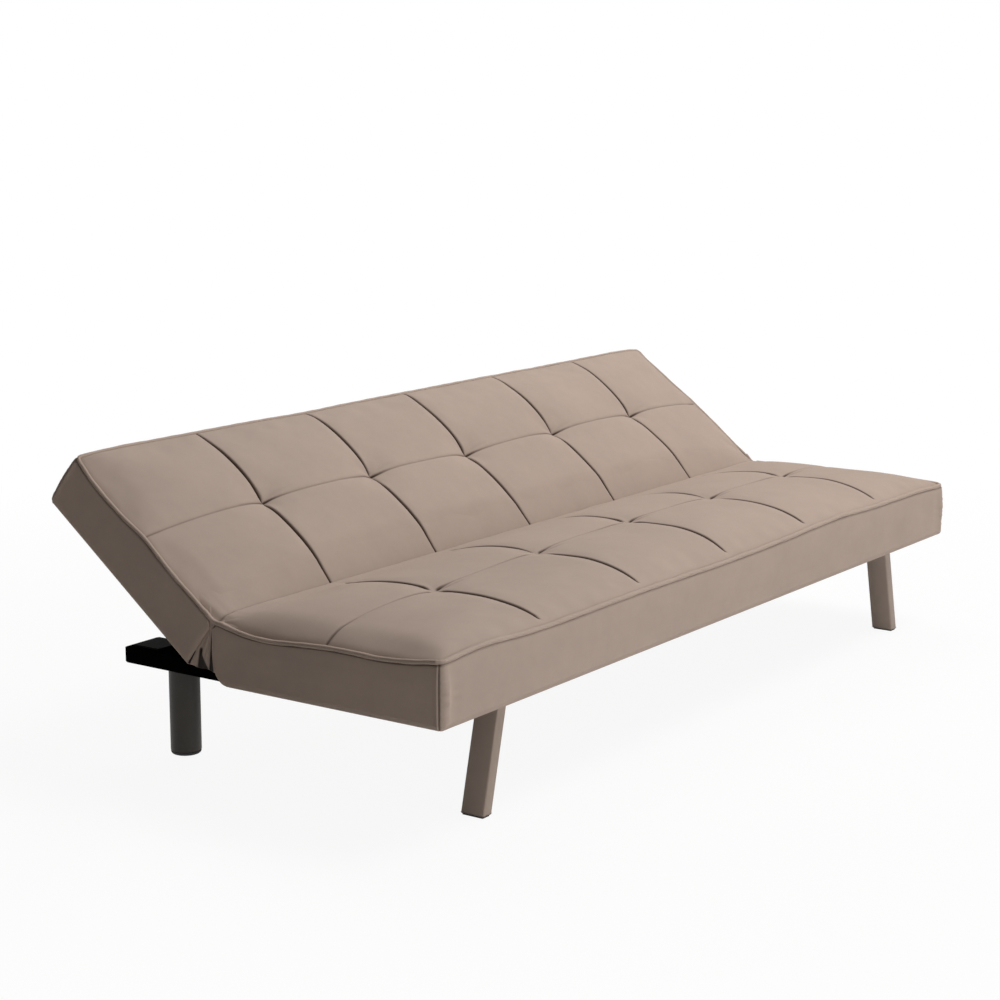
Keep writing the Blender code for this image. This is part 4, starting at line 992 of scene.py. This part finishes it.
def make_boxing(slab, far_name):
    """The side cloth as one band round both ends and the far edge, tucked under the piping and the frame."""
    size = covers()
    corner = size.boxing_corner
    half, far, along, across, turns = plan_path(slab, 0.0, corner, 0.009)
    depth = slab.rim - slab.under
    soft = slab.lower_round
    levels = [*BOXING_DROPS[:4], *np.arange(0.009, depth - soft - 0.001, BOXING_STEP)]
    insets = list(np.interp(levels, BOXING_DROPS, BOXING_INSETS))
    for turn in np.linspace(0, math.pi / 2, 6):
        levels.append(depth - soft * (1 - math.sin(turn)))
        insets.append(soft * (1 - math.cos(turn)))
    levels += [depth, depth]
    insets += [0.020, HEM]
    spots, uvs, seam, worn = [], [], [], []
    for drop, tuck in zip(levels, insets):
        row = []
        level = slab.rim - drop
        begin = float(side_start(slab, level))
        under = drop >= depth - HAIR
        for sign in (-1, 1):
            line = []
            for inward in (0.022, 0.012, 0.005, 0.0022, 0.0007):
                bent = 1 - min(inward / 0.004, 1)
                back = 0.0035 * (1 - math.sqrt(1 - bent ** 2))
                line.append((sign * (half - max(inward, tuck)), begin + back, sign, 0, -1.0))
            start = begin + 0.0042
            for share in along:
                line.append((sign * (half - tuck), start + (far - corner - start) * share, sign, 0, -1.0))
            for turn in turns:
                bend = max(corner - tuck, 0.001)
                x = sign * (half - tuck - bend * (1 - math.cos(turn)))
                p = far - tuck - bend * (1 - math.sin(turn))
                line.append((x, p, sign * math.cos(turn), math.sin(turn), turn))
            if sign < 0:
                row = line + [(x, far - tuck, 0, 1, -1.0) for x in across]
            else:
                row += list(reversed(line))
        row = np.array(row)
        x, p, turn = row[:, 0], row[:, 1], row[:, 4]
        share = np.clip(1 - drop / 0.060, 0, 1)
        lower = (rim_wave(slab, x, p) - slab.pipe_radius * 0.6) * share
        middle = math.sin(math.pi * min(drop / depth, 1))
        loose = 0.0004 * ripple(x, p + drop, 0.13, BOXING_SEED) * middle
        seam_line = bell(turn - 0.45, 0.13) * (turn >= 0)
        welt = bell(turn - 0.12, 0.12) * (turn >= 0)
        inward = half - np.abs(x)
        on_far = (p > far - tuck - 1e-6) | (turn > 0.75)
        gather = sum(height * bell(inward - place, width) for height, place, width in GATHER_FOLDS)
        gather = gather * (1 + 0.35 * math.sin(drop * 190 + 2.1 * math.sin(drop * 97))) * middle ** 0.6
        tugs = math.sin(drop * 640) + math.sin(drop * 410 + 1.3)
        gather = gather + 0.0006 * tugs * np.exp(-inward / 0.011) * middle ** 0.3
        gather = gather * on_far * slab.gather
        pull = 0.0016 * seam_line - 0.0007 * welt if not under else 0.0
        x = x + row[:, 2] * (loose - pull + gather)
        p = p + row[:, 3] * (loose - pull + gather)
        spots.append(slab.world(x, p, level + lower))
        length = np.concatenate([[0], np.cumsum(np.hypot(np.diff(row[:, 0]), np.diff(row[:, 1])))])
        uvs.append(np.stack([length, np.full_like(length, drop + max(tuck, 0) * under)], axis=-1))
        # Painted shade: a dark line just under the piping, stronger on the ends, and down the seam at each far
        # corner
        at_end = np.abs(row[:, 2])
        tucked = slab.tuck_far + (slab.tuck_end - slab.tuck_far) * at_end
        tucked = tucked * bell(drop - 0.002, 0.0022)
        seam.append(np.maximum(seam_line * (slab.corner_ink if 0.002 < drop and not under else 0.0), tucked))
        # Paler along the bottom edge, and painted highlight on the welt beside each far corner seam
        rubbed = 0.3 * bell(drop - depth + 0.004, 0.005)
        worn.append(rubbed + 0.8 * slab.gather * welt * (not under))
    columns = len(spots[0])
    marks = {"seam": np.concatenate(seam), "worn": np.concatenate(worn)}
    faces = grid_faces(len(levels), columns)
    obj = mesh_object(f"{slab.name}_boxing", np.concatenate(spots), faces, np.concatenate(uvs), marks)
    fix_normals(obj)
    thicken(obj, size.cloth)
    girth = 2 * slab.reach + 2 * HALF
    nodes = [f"{slab.name}_{part}_panel" for part in (far_name, "left", "right")]
    dress(obj, slab.name, "taupe_fabric", "fabric", *nodes)
    depth + HEM


def tube(name, path, radius, sides, lumps=0.0):
    """A round tube along points, with a slightly uneven girth, closed at both ends."""
    path = np.asarray(path, float)
    ahead = np.gradient(path, axis=0)
    ahead /= np.linalg.norm(ahead, axis=1, keepdims=True)
    up = np.array([0.0, 0.0, 1.0]) - ahead * ahead[:, 2:3]
    up /= np.linalg.norm(up, axis=1, keepdims=True)
    side = np.cross(ahead, up)
    length = np.concatenate([[0], np.cumsum(np.linalg.norm(np.diff(path, axis=0), axis=1))])
    girth = radius * (1 + 0.05 * np.sin(length / 0.0071) + 0.05 * np.sin(length / 0.0163 + 1.0))
    girth = girth * (1 + lumps * (np.sin(length / 0.00125) + 0.6 * np.sin(length / 0.0021)))
    spots, uvs = [], []
    for i in range(sides):
        angle = 2 * math.pi * i / sides
        spots.append(path + (np.cos(angle) * side + np.sin(angle) * up) * girth[:, None])
        uvs.append(np.stack([length, np.full_like(length, radius * angle)], axis=-1))
    count = len(path)
    faces = []
    for i in range(sides):
        one, two = i * count, (i + 1) % sides * count
        faces += [(one + k, one + k + 1, two + k + 1, two + k) for k in range(count - 1)]
    faces.append(tuple(i * count for i in range(sides)))
    faces.append(tuple(i * count + count - 1 for i in reversed(range(sides))))
    # Painted highlight: the whole cord is painted paler than the cloth, as if lit from above
    values = {"worn": np.full(count * sides, 0.35), "seam": np.zeros(count * sides)}
    obj = mesh_object(name, np.concatenate(spots), faces, np.concatenate(uvs), values)
    fix_normals(obj)
    return obj


def piping_path(slab):
    """The piping's middle line, from the left end of the crease round to the right end."""
    size = covers()
    inset, corner = size.piping_inset - size.piping_proud, size.boxing_corner
    half, far, along, across, turns = plan_path(slab, inset, corner, 0.007)
    start = float(crease_line(slab.rim + slab.pipe_radius))
    left = [(-half, start + (far - corner - start) * share) for share in along]
    left += [(-half + corner - corner * math.cos(t), far - corner + corner * math.sin(t)) for t in turns]
    middle = [(x, far) for x in across]
    flat = np.array(left + middle + [(-x, p) for x, p in reversed(left)])
    x, p = flat[:, 0], flat[:, 1]
    sink = slab.cord_sink * ease(x + HALF, 0.02, 0.12)
    return slab.world(x, p, pipe_height(slab, x, p) - sink + 0.0004 * ripple(x, p, 0.09, PIPING_SEED))


def make_piping(slab):
    """Cord-filled piping along the top edge, crumpled where it turns the corners."""
    path = piping_path(slab)
    far = slab.world(0, slab.reach, slab.rim)
    to_corner = np.hypot(HALF - np.abs(path[:, 0]), np.linalg.norm(path[:, 1:] - far[1:], axis=1))
    lumps = 0.11 * bell(to_corner, 0.022) * slab.gather
    obj = tube(f"{slab.name}_edge_piping", path, slab.pipe_radius * slab.cord, 14, lumps)
    dress(obj, slab.name, "taupe_fabric", "fabric", f"{slab.name}_piping")


def make_corner_piping(side, sign):
    """The short run of piping that carries on round the end of the crease, from the seat to the back."""
    size = covers()
    x = sign * (HALF - size.piping_inset + size.piping_proud)
    ends = []
    for slab in SLABS:
        p = float(crease_line(slab.rim + slab.pipe_radius))
        steps = [p + 0.012, p + 0.004]
        outer, inner = (slab.world(x, step, pipe_height(slab, x, step)) for step in steps)
        ends.append((outer, inner, 2 * inner - outer))
    low = np.array([x, HINGE.y - 0.002, HINGE.z + 0.004])
    knots = np.array([ends[0][0], ends[0][1], ends[0][2], low, ends[1][2], ends[1][1], ends[1][0]])
    path = []
    for t in np.linspace(0, 1, 33):
        weights = [math.comb(6, k) * t ** k * (1 - t) ** (6 - k) for k in range(7)]
        path.append(sum(w * knot for w, knot in zip(weights, knots)))
    obj = tube(f"corner_piping_{side}", path, SEAT.pipe_radius * SEAT.cord * 0.98, 14)
    dress_crossing(obj)


def make_crease_cloth():
    """The strip of cover cloth that joins the slabs over the crease, full where their fillings press."""
    half = HALF - 0.005
    xs = graded_lines([-half, *seam_places(), half], SEAM_STEP, CREASE_STEP)
    to_end = half - np.abs(xs)
    sides = {}
    for slab in SLABS:
        near, far, limit = cover_span(slab)
        sides[slab.name] = []
        joint, last = slab.crease[2], slab.crease[-1]
        edge = cover_height(slab, xs, np.full_like(xs, near), near, far, limit)
        low = edge + slab.crease_low * ramp(to_end, 0.05)
        for p in slab.crease:
            fall = max((joint - p) / (joint - last), 0) ** slab.crease_fall
            under = max(p - joint, 0) * 0.085 - 0.0003 + 0.004 * (1 - ramp(to_end, 0.03))
            on_cover = np.full_like(xs, max(p, joint))
            top = cover_height(slab, xs, on_cover, near, far, limit)
            top = top + settled(slab, xs, on_cover[:1])[0, :, 2]
            height = top + (low - top) * fall - under * (1 - fall)
            sides[slab.name].append(slab.world(xs, p, slab.rim + height))
    bisector = (math.pi + RECLINE) / 2
    out = np.array([0, math.cos(bisector), math.sin(bisector)])
    valley = (sides["seat"][-1] + sides["back"][-1]) / 2 - 0.002 * out
    knots = np.stack([*sides["seat"], valley, *reversed(sides["back"])])
    shares = np.linspace(0, 1, 65)
    weights = np.stack([through(shares, unit) for unit in np.eye(len(knots))], axis=-1)
    spots = np.einsum("jk,kxa->jxa", weights, knots)

    place = shares[:, None] * (len(knots) - 1)
    turn = len(SEAT.crease)
    on_back = place > turn
    steps = [*SEAT.crease, SEAT.crease[-1], *reversed(BACK.crease)]
    p = np.interp(place, range(len(knots)), steps)
    low = bell(place - turn, 0.7)
    cross = np.zeros((len(shares), len(xs)))
    for slab, here in ((SEAT, ~on_back), (BACK, on_back)):
        near, far, limit = cover_span(slab)
        deep = np.maximum(p, near + slab.seam_start[1]) if slab is BACK else p
        grid_x, grid_p = np.broadcast_arrays(xs[None, :], deep)
        strength, _, nearest = seam_strength(slab, grid_x, grid_p, near, far, limit)
        cross = np.where(here, strength, cross)
    groove = covers().seam_depth * cross * bell(nearest, covers().seam_width)
    down = shares[:, None]
    pinch = np.exp(-to_end / 0.020) * np.sin(to_end / 0.0035 + 4 * down) * np.sin(math.pi * down)
    sag = 0.0006 * ripple(xs[None, :], p, 0.12, CREASE_SEED) + 0.0034 * pinch
    spots = spots + out * (sag - groove)[..., None]
    # Painted shade down the cross seams, and along the low middle of the crease, darker towards the ends
    ink = np.where(on_back, BACK.ink, SEAT.ink)
    dark = bell(nearest, ink * np.maximum(cross, 0.05), 4) * ease(cross, 0.04, 0.30)
    dark = np.maximum(dark, low * (0.15 + 0.35 * np.exp(-to_end / 0.20)))

    run = np.linalg.norm(np.diff(spots[:, len(xs) // 2], axis=0), axis=1)
    along = np.concatenate([[0], np.cumsum(run)])
    uvs = np.stack(np.broadcast_arrays(xs[None, :], along[:, None]), axis=-1)
    # Painted highlight: paler on the puckers near the ends
    pale = np.clip(1.6 * pinch, 0, 1)
    marks = {"seam": dark.ravel(), "worn": pale.ravel()}
    faces = grid_faces(len(shares), len(xs))
    obj = mesh_object("crease_cloth", spots.reshape(-1, 3), faces, uvs.reshape(-1, 2), marks)
    thicken(obj, CREASE_CLOTH)
    dress_crossing(obj)


def make_gusset(side, sign):
    """Loose cloth that closes the wedge between the slabs at one end, falling in a few uneven folds."""
    shares = np.linspace(0, 1, 121)
    steps = np.concatenate([np.linspace(-0.13, 0.2, 7)[:-1], np.linspace(0.2, 1.0, 36)])
    reach = 0.0785 + 0.0125 * ease(shares, 0.35, 1.0) + 0.0012 * np.sin(14 * shares + 0.6)
    spots, uvs, dark, slits = [], [], [], []
    for step in steps:
        grow = float(np.clip(step, 0, 1))
        depth, ink = np.zeros_like(shares), np.zeros_like(shares)
        for place, lean, width, deep, begins in GUSSET_FOLDS:
            opened = float(np.clip((grow - begins) / (1 - begins), 0, 1))
            slit = (shares - place - lean * (1 - grow)) / (width * (0.25 + 0.75 * opened))
            slit = bell(slit, 1, 4) * min(opened * 5, 1.0)
            depth = np.maximum(depth, deep * slit)
            # Painted shade: black down in each fold as it opens
            ink = np.maximum(ink, np.clip(slit * 2.2 - 0.2, 0, 1))
        edges = ease(shares, 0.0, 0.045) * ease(1 - shares, 0.0, 0.05)
        folds = 0.5 * np.sin(15 * shares + 1.5 * grow) + 0.3 * np.sin(27 * shares - 2 * grow)
        swell = GUSSET_SWELL * np.sin(math.pi * shares) * math.sin(math.pi * min(grow, 0.85)) * (1 + folds)
        angle = (RECLINE + 0.16) * shares - 0.08
        radius = step * reach
        below, up = np.maximum(radius, 0.0), np.maximum(-radius, 0.0)
        y = HINGE.y + below * np.sin(angle) + (shares - 0.5) * 0.006 + up * (shares * 0.9 - 0.75)
        z = HINGE.z - below * np.cos(angle) + up * (0.8 + 0.5 * shares)
        x = sign * (HALF - GUSSET_INSET - depth - 0.008 * (1 - edges) + swell)
        spots.append(np.stack([x, y, z], axis=-1))
        uvs.append(np.stack([shares * 0.16, radius], axis=-1))
        # Painted shade along the edges where the gusset meets the seat and the back
        dark.append((1 - edges) * 0.25)
        slits.append(ink)
    faces = grid_faces(len(steps), len(shares))
    spots = np.concatenate(spots)
    marks = {"seam": np.concatenate(dark), "slit": np.concatenate(slits), "worn": np.zeros(len(spots))}
    obj = mesh_object(f"pleated_gusset_{side}", spots, faces, np.concatenate(uvs), marks)
    thicken(obj, GUSSET_CLOTH)
    dress_crossing(obj)
    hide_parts(f"gusset_{side}")


def make_crease_panel(slab, node):
    """Cover cloth drawn down a slab's crease side, a little slack between its edges."""
    low, high = node_extent(node, slab.tilt)
    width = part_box(node)[1].x
    xs = np.linspace(-width, width, 190)
    levels = np.linspace(high[1], low[1], 27)
    x, n = np.meshgrid(xs, levels)
    edge = ramp(width - np.abs(x), 0.05) * ramp(n - low[1], 0.02) * ramp(high[1] - n, 0.02)
    p = side_start(slab, n) + 0.0008 + edge * (0.0010 + 0.0007 * ripple(x, n * 3, 0.16, PANEL_SEED))
    obj = lay_sheet(f"{slab.name}_crease_side", slab, x, p, n, (x, n), covers().cloth)
    dress(obj, slab.name, "taupe_fabric", "fabric", node)


def make_under_cloth(slab, node, look, slot, sag, name):
    """Cloth stretched over the frame's underside, a little slack between the rails."""
    low, high = node_extent(node, slab.tilt)
    near, far = (low[0], high[0]) if slab.toward > 0 else (-high[0], -low[0])
    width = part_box(node)[1].x
    xs = np.linspace(-width, width, 150)
    ps = np.linspace(near, far, 44)
    x, p = np.meshgrid(xs, ps)
    pads = abs(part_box("rest_pad_right")[0].x) - 0.03
    edge = ramp(np.maximum(pads - np.abs(x), 0), 0.12) * ramp(far - p, 0.10) * ramp(p - near, 0.10)
    slack = sag * (0.6 + 0.12 * ripple(x, p, 0.30, SAG_SEED)) + 0.0003 * ripple(x, p, 0.05, WRINKLE_SEED)
    n = low[1] + 0.0005 + slack * edge
    obj = lay_sheet(name, slab, x, p, n, (x, p), UNDER_CLOTH)
    dress(obj, slab.name, slot, look, node)
    far - near


def make_front_leg(side, sign):
    """A flat bar splayed outwards, its edges rounded over and its foot more so."""
    node = f"front_leg_{side}"
    low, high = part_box(node)
    width, splay = 0.025, 0.2426
    height = high.z - low.z
    foot_x = sign * (max(abs(low.x), abs(high.x)) - width / 2)
    place = Vector((foot_x, (low.y + high.y) / 2, low.z + height / 2))
    clear_selection()
    bpy.ops.mesh.primitive_cube_add(size=1, location=place)
    bpy.context.object.scale = (width, high.y - low.y, height)
    obj = begin_edit(f"splayed_leg_{side}")
    pick(obj, "FACE", lambda face: face.normal.z > 0.9)
    bpy.ops.transform.translate(value=(-sign * splay * height, 0, 0))
    bevel(obj, "EDGE", lambda edge: abs(edge.verts[0].co.z - edge.verts[1].co.z) > 0.1, 0.0032, 4)
    bevel(obj, "FACE", lambda face: face.normal.z < -0.9, 0.0030, 4)
    bevel(obj, "FACE", lambda face: face.normal.z > 0.9, 0.0009, 2)
    end_edit(math.radians(35))
    fix_normals(obj)
    dress(obj, "seat", "taupe_paint", "leg", node)


def make_rear_post(side):
    """A round post with softened ends, standing on its foot."""
    node = f"rear_leg_{side}"
    low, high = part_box(node)
    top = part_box(f"rear_arm_{side}")[0].z - 0.0003
    middle = (low + high) / 2
    middle.z = (top + low.z) / 2
    radius, height = (high.x - low.x) / 2, top - low.z
    clear_selection()
    bpy.ops.mesh.primitive_cylinder_add(vertices=72, radius=radius, depth=height, location=middle)
    obj = begin_edit(f"round_post_{side}")
    bevel(obj, "FACE", lambda face: abs(face.normal.z) > 0.9, 0.0022, 4)
    end_edit()
    dress(obj, "seat", "graphite", "post", node)


def make_rear_foot(side):
    """A rubber foot with a rounded sole and a shallow groove round its top."""
    node = f"rear_foot_{side}"
    low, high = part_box(node)
    middle = (low + high) / 2
    radius, height = (high.x - low.x) / 2, high.z - low.z
    clear_selection()
    bpy.ops.mesh.primitive_cylinder_add(vertices=64, radius=radius, depth=height, location=middle)
    obj = begin_edit(f"rubber_foot_{side}")
    bevel(obj, "FACE", lambda face: face.normal.z < -0.9, 0.005, 6)
    pick(obj, "FACE", lambda face: face.normal.z > 0.9)
    bpy.ops.mesh.inset(thickness=0.0015, depth=0)
    bpy.ops.transform.translate(value=(0, 0, 0.0001))
    end_edit()
    dress(obj, "seat", "black_rubber", "rubber", node)


def make_rear_arm(side):
    """A flat arm with a blunt, rounded rear end and eased edges."""
    node = f"rear_arm_{side}"
    low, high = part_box(node)
    clear_selection()
    bpy.ops.mesh.primitive_cube_add(size=1, location=(low + high) / 2)
    bpy.context.object.scale = high - low
    obj = begin_edit(f"bed_arm_{side}")

    def rear_end(edge):
        first, second = (vert.co for vert in edge.verts)
        return min(first.y, second.y) > high.y - 1e-4 and abs(first.x - second.x) > 0.05

    bevel(obj, "EDGE", rear_end, 0.009, 6)
    bevel(obj, "FACE", lambda face: abs(face.normal.x) > 0.9, 0.0022, 3)
    end_edit()
    fix_normals(obj)
    dress(obj, "seat", "black_paint", "arm", node)


def model_screw():
    """A pan-head screw with a crossed slot, head downwards, at the origin."""
    clear_selection()
    bpy.ops.mesh.primitive_cylinder_add(vertices=24, radius=HEAD_RADIUS, depth=HEAD_HEIGHT)
    obj = bpy.context.object
    bpy.ops.object.mode_set(mode="EDIT")
    bevel(obj, "FACE", lambda face: face.normal.z < -0.9, 0.0012, 3)
    bpy.ops.object.mode_set(mode="OBJECT")
    for scale in ((SLOT_LENGTH, SLOT_WIDTH, SLOT_DEPTH), (SLOT_WIDTH, SLOT_LENGTH, SLOT_DEPTH)):
        bpy.ops.mesh.primitive_cube_add(size=1, location=(0, 0, -HEAD_HEIGHT / 2))
        slot = bpy.context.object
        slot.scale = scale
        settle_transform(slot)
        cut = obj.modifiers.new("slot", "BOOLEAN")
        cut.operation = "DIFFERENCE"
        cut.object = slot
        apply_modifiers(obj)
        bpy.data.objects.remove(slot)
    make_active(obj)
    bpy.ops.object.shade_smooth_by_angle(angle=SMOOTH_ANGLE)
    return obj


def make_screws():
    """Screws that hold the leg plates and the arms: one is modelled, the rest are copies."""
    places = {}
    for side, _ in SIDES:
        low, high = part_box(f"front_leg_plate_{side}")
        middle = (low + high) / 2
        for i, (dx, dy) in enumerate(((-1, -1), (-1, 1), (1, -1), (1, 1))):
            x, y = middle.x + dx * PLATE_SCREW_OFFSET, middle.y + dy * PLATE_SCREW_OFFSET
            places[f"leg_plate_screw_{side}_{i + 1}"] = (x, y, high.z - 0.0044)
        low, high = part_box(f"rear_arm_{side}")
        for i in range(3):
            y = low.y + ARM_SCREW_START + ARM_SCREW_PITCH * i
            places[f"arm_screw_{side}_{i + 1}"] = ((low.x + high.x) / 2, y, low.z - 0.0014)
    first = model_screw()
    for name, spot in places.items():
        obj = bpy.data.objects.new(name, first.data.copy())
        obj.data.transform(Matrix.Translation(spot))
        bpy.context.scene.collection.objects.link(obj)
        dress(obj, "seat", "steel", "steel")
    bpy.data.objects.remove(first)


def finish_frame():
    """Materials for the solids that stay as they are."""
    slots = {part["node"]: part["material_slot"] for part in frame["record"]["subparts"]}
    looks = {
        "pine": "pine", "steel": "steel", "zinc_plate": "zinc", "black_rubber": "rubber", "grey_felt": "felt",
        "webbing": "webbing", "taupe_fabric": "fabric", "black_cloth": "dust", "taupe_paint": "leg",
        "black_paint": "arm", "graphite": "post",
    }
    for name, obj in frame["nodes"].items():
        obj.data.materials.clear()
        obj.data.materials.append(LOOKS[looks[slots[name]]])


def seen_rays(made):
    """1 where a surface is seen by the camera or in a reflection, 0 where it lights the sofa bed."""
    camera = made.node("ShaderNodeLightPath", out="Is Camera Ray")
    glossy = made.node("ShaderNodeLightPath", out="Is Glossy Ray")
    through_glass = made.node("ShaderNodeLightPath", out="Is Transmission Ray")
    return made.node("ShaderNodeMath", {"operation": "MINIMUM"}, {0: camera + glossy + through_glass, 1: 1.0})


def make_stage(stage):
    """A pale floor, soft studio light and the camera."""
    scene = bpy.context.scene
    clear_selection()
    bpy.ops.mesh.primitive_plane_add(size=stage.floor_size, location=(0, 0, -0.0005))
    floor = bpy.context.object
    floor.name = "studio_floor"
    made = Finish("studio_floor_white")
    made.set(Base_Color=stage.floor[:], Roughness=0.9)
    glow = made.node("ShaderNodeEmission", {}, {"Color": (1, 1, 1), "Strength": 1.0})
    away = made.node("ShaderNodeVectorMath", {"operation": "LENGTH"}, {0: made.place()}, out="Value")
    white = stage.backdrop + made.spread(away, 1.1, 2.6) * (1 - stage.backdrop)
    lit = Value(made, made.shader.outputs[0])
    mixed = made.node("ShaderNodeMixShader", {}, {0: seen_rays(made) * white, 1: lit, 2: glow})
    made.feed(made.tree.nodes["Material Output"].inputs["Surface"], mixed)
    floor.data.materials.append(made.material)

    made = Finish("studio_light", world=True)
    made.set(Color=made.mix(seen_rays(made), stage.sky_colour[:], (1, 1, 1)))
    made.set(Strength=stage.sky + seen_rays(made) * (1 - stage.sky))
    scene.world = made.material

    for name in ("key", "rear", "fill"):
        lamp = bpy.data.lights.new(f"{name}_lamp", "AREA")
        lamp.size = stage.lamp_size
        lamp.energy = getattr(stage, f"{name}_power")
        obj = bpy.data.objects.new(f"{name}_lamp", lamp)
        obj.location = getattr(stage, f"{name}_place")
        obj.rotation_euler = (Vector(LAMP_AIM) - obj.location).to_track_quat("-Z", "Y").to_euler()
        scene.collection.objects.link(obj)

    lens = bpy.data.cameras.new("photo_camera")
    lens.lens = stage.camera_lens
    lens.sensor_width = 36.0
    camera = bpy.data.objects.new("photo_camera", lens)
    camera.location = stage.camera_place
    camera.rotation_euler = (math.radians(90) - stage.camera_pitch, 0, -stage.camera_heading)
    scene.collection.objects.link(camera)
    scene.camera = camera
    scene.view_settings.view_transform = "Standard"


class SOFA_OT_stage(bpy.types.Operator):
    """Add the floor, lamps and camera"""

    bl_idname = "sofa.stage"
    bl_label = "Studio Stage"

    def execute(self, context):
        make_stage(context.scene.sofa_stage)
        return {"FINISHED"}


class SOFA_OT_finishes(bpy.types.Operator):
    """Make the materials and put them on the frame's solids"""

    bl_idname = "sofa.finishes"
    bl_label = "Finishes"

    def execute(self, context):
        make_looks()
        finish_frame()
        return {"FINISHED"}


class SOFA_OT_tufted_covers(bpy.types.Operator):
    """Sew the tufted covers of the seat and the back"""

    bl_idname = "sofa.tufted_covers"
    bl_label = "Tufted Covers"

    def execute(self, context):
        for slab in SLABS:
            make_tufted_cover(slab)
        return {"FINISHED"}


class SOFA_OT_boxing(bpy.types.Operator):
    """Wrap the side cloth round the seat and the back"""

    bl_idname = "sofa.boxing"
    bl_label = "Boxing"

    def execute(self, context):
        make_boxing(SEAT, "front")
        make_boxing(BACK, "top")
        return {"FINISHED"}


class SOFA_OT_piping(bpy.types.Operator):
    """Lay the piping along the top edges and round the ends of the crease"""

    bl_idname = "sofa.piping"
    bl_label = "Piping"

    def execute(self, context):
        for slab in SLABS:
            make_piping(slab)
        for side, sign in SIDES:
            make_corner_piping(side, sign)
        return {"FINISHED"}


class SOFA_OT_crease(bpy.types.Operator):
    """Hang the crease cloth and the pleated gussets between the seat and the back"""

    bl_idname = "sofa.crease"
    bl_label = "Crease and Gussets"

    def execute(self, context):
        make_crease_cloth()
        make_crease_panel(SEAT, "seat_rear_panel")
        make_crease_panel(BACK, "back_lower_panel")
        for side, sign in SIDES:
            make_gusset(side, sign)
        return {"FINISHED"}


class SOFA_OT_under_cloths(bpy.types.Operator):
    """Stretch the dust cloth under the seat and the cloth behind the back"""

    bl_idname = "sofa.under_cloths"
    bl_label = "Under Cloths"

    def execute(self, context):
        make_under_cloth(SEAT, "seat_dust_cover", "dust", "black_cloth", -0.004, "dust_cloth")
        make_under_cloth(BACK, "back_rear_cover", "fabric", "taupe_fabric", -0.0014, "rear_cloth")
        return {"FINISHED"}


class SOFA_OT_front_legs(bpy.types.Operator):
    """Shape the splayed front legs"""

    bl_idname = "sofa.front_legs"
    bl_label = "Front Legs"

    def execute(self, context):
        for side, sign in SIDES:
            make_front_leg(side, sign)
        return {"FINISHED"}


class SOFA_OT_rear_legs(bpy.types.Operator):
    """Turn the rear posts and feet, and shape the arms over them"""

    bl_idname = "sofa.rear_legs"
    bl_label = "Rear Legs and Arms"

    def execute(self, context):
        for side, _ in SIDES:
            make_rear_post(side)
            make_rear_foot(side)
            make_rear_arm(side)
        return {"FINISHED"}


class SOFA_OT_screws(bpy.types.Operator):
    """Drive the screws of the leg plates and the arms"""

    bl_idname = "sofa.screws"
    bl_label = "Screws"

    def execute(self, context):
        make_screws()
        return {"FINISHED"}


STEPS = (
    SOFA_OT_stage, SOFA_OT_finishes, SOFA_OT_tufted_covers, SOFA_OT_boxing, SOFA_OT_piping, SOFA_OT_crease,
    SOFA_OT_under_cloths, SOFA_OT_front_legs, SOFA_OT_rear_legs, SOFA_OT_screws,
)


class SOFA_PT_panel(bpy.types.Panel):
    """Steps that dress the sofa bed"""

    bl_idname = "SOFA_PT_panel"
    bl_label = "Sofa Bed"
    bl_space_type = "VIEW_3D"
    bl_region_type = "UI"
    bl_category = "Sofa Bed"

    def draw(self, context):
        for step in STEPS:
            self.layout.operator(step.bl_idname)


GROUPS = (("sofa_covers", SofaCoverSizes), ("sofa_colours", SofaColours), ("sofa_stage", SofaStage))


def register():
    for name, group in GROUPS:
        bpy.utils.register_class(group)
        setattr(bpy.types.Scene, name, PointerProperty(type=group))
    for step in (*STEPS, SOFA_PT_panel):
        bpy.utils.register_class(step)


def unregister():
    for step in reversed((*STEPS, SOFA_PT_panel)):
        bpy.utils.unregister_class(step)
    for name, group in reversed(GROUPS):
        delattr(bpy.types.Scene, name)
        bpy.utils.unregister_class(group)


def main():
    register()
    for step in STEPS:
        family, action = step.bl_idname.split(".")
        getattr(getattr(bpy.ops, family), action)()


if __name__ == "__main__":
    main()
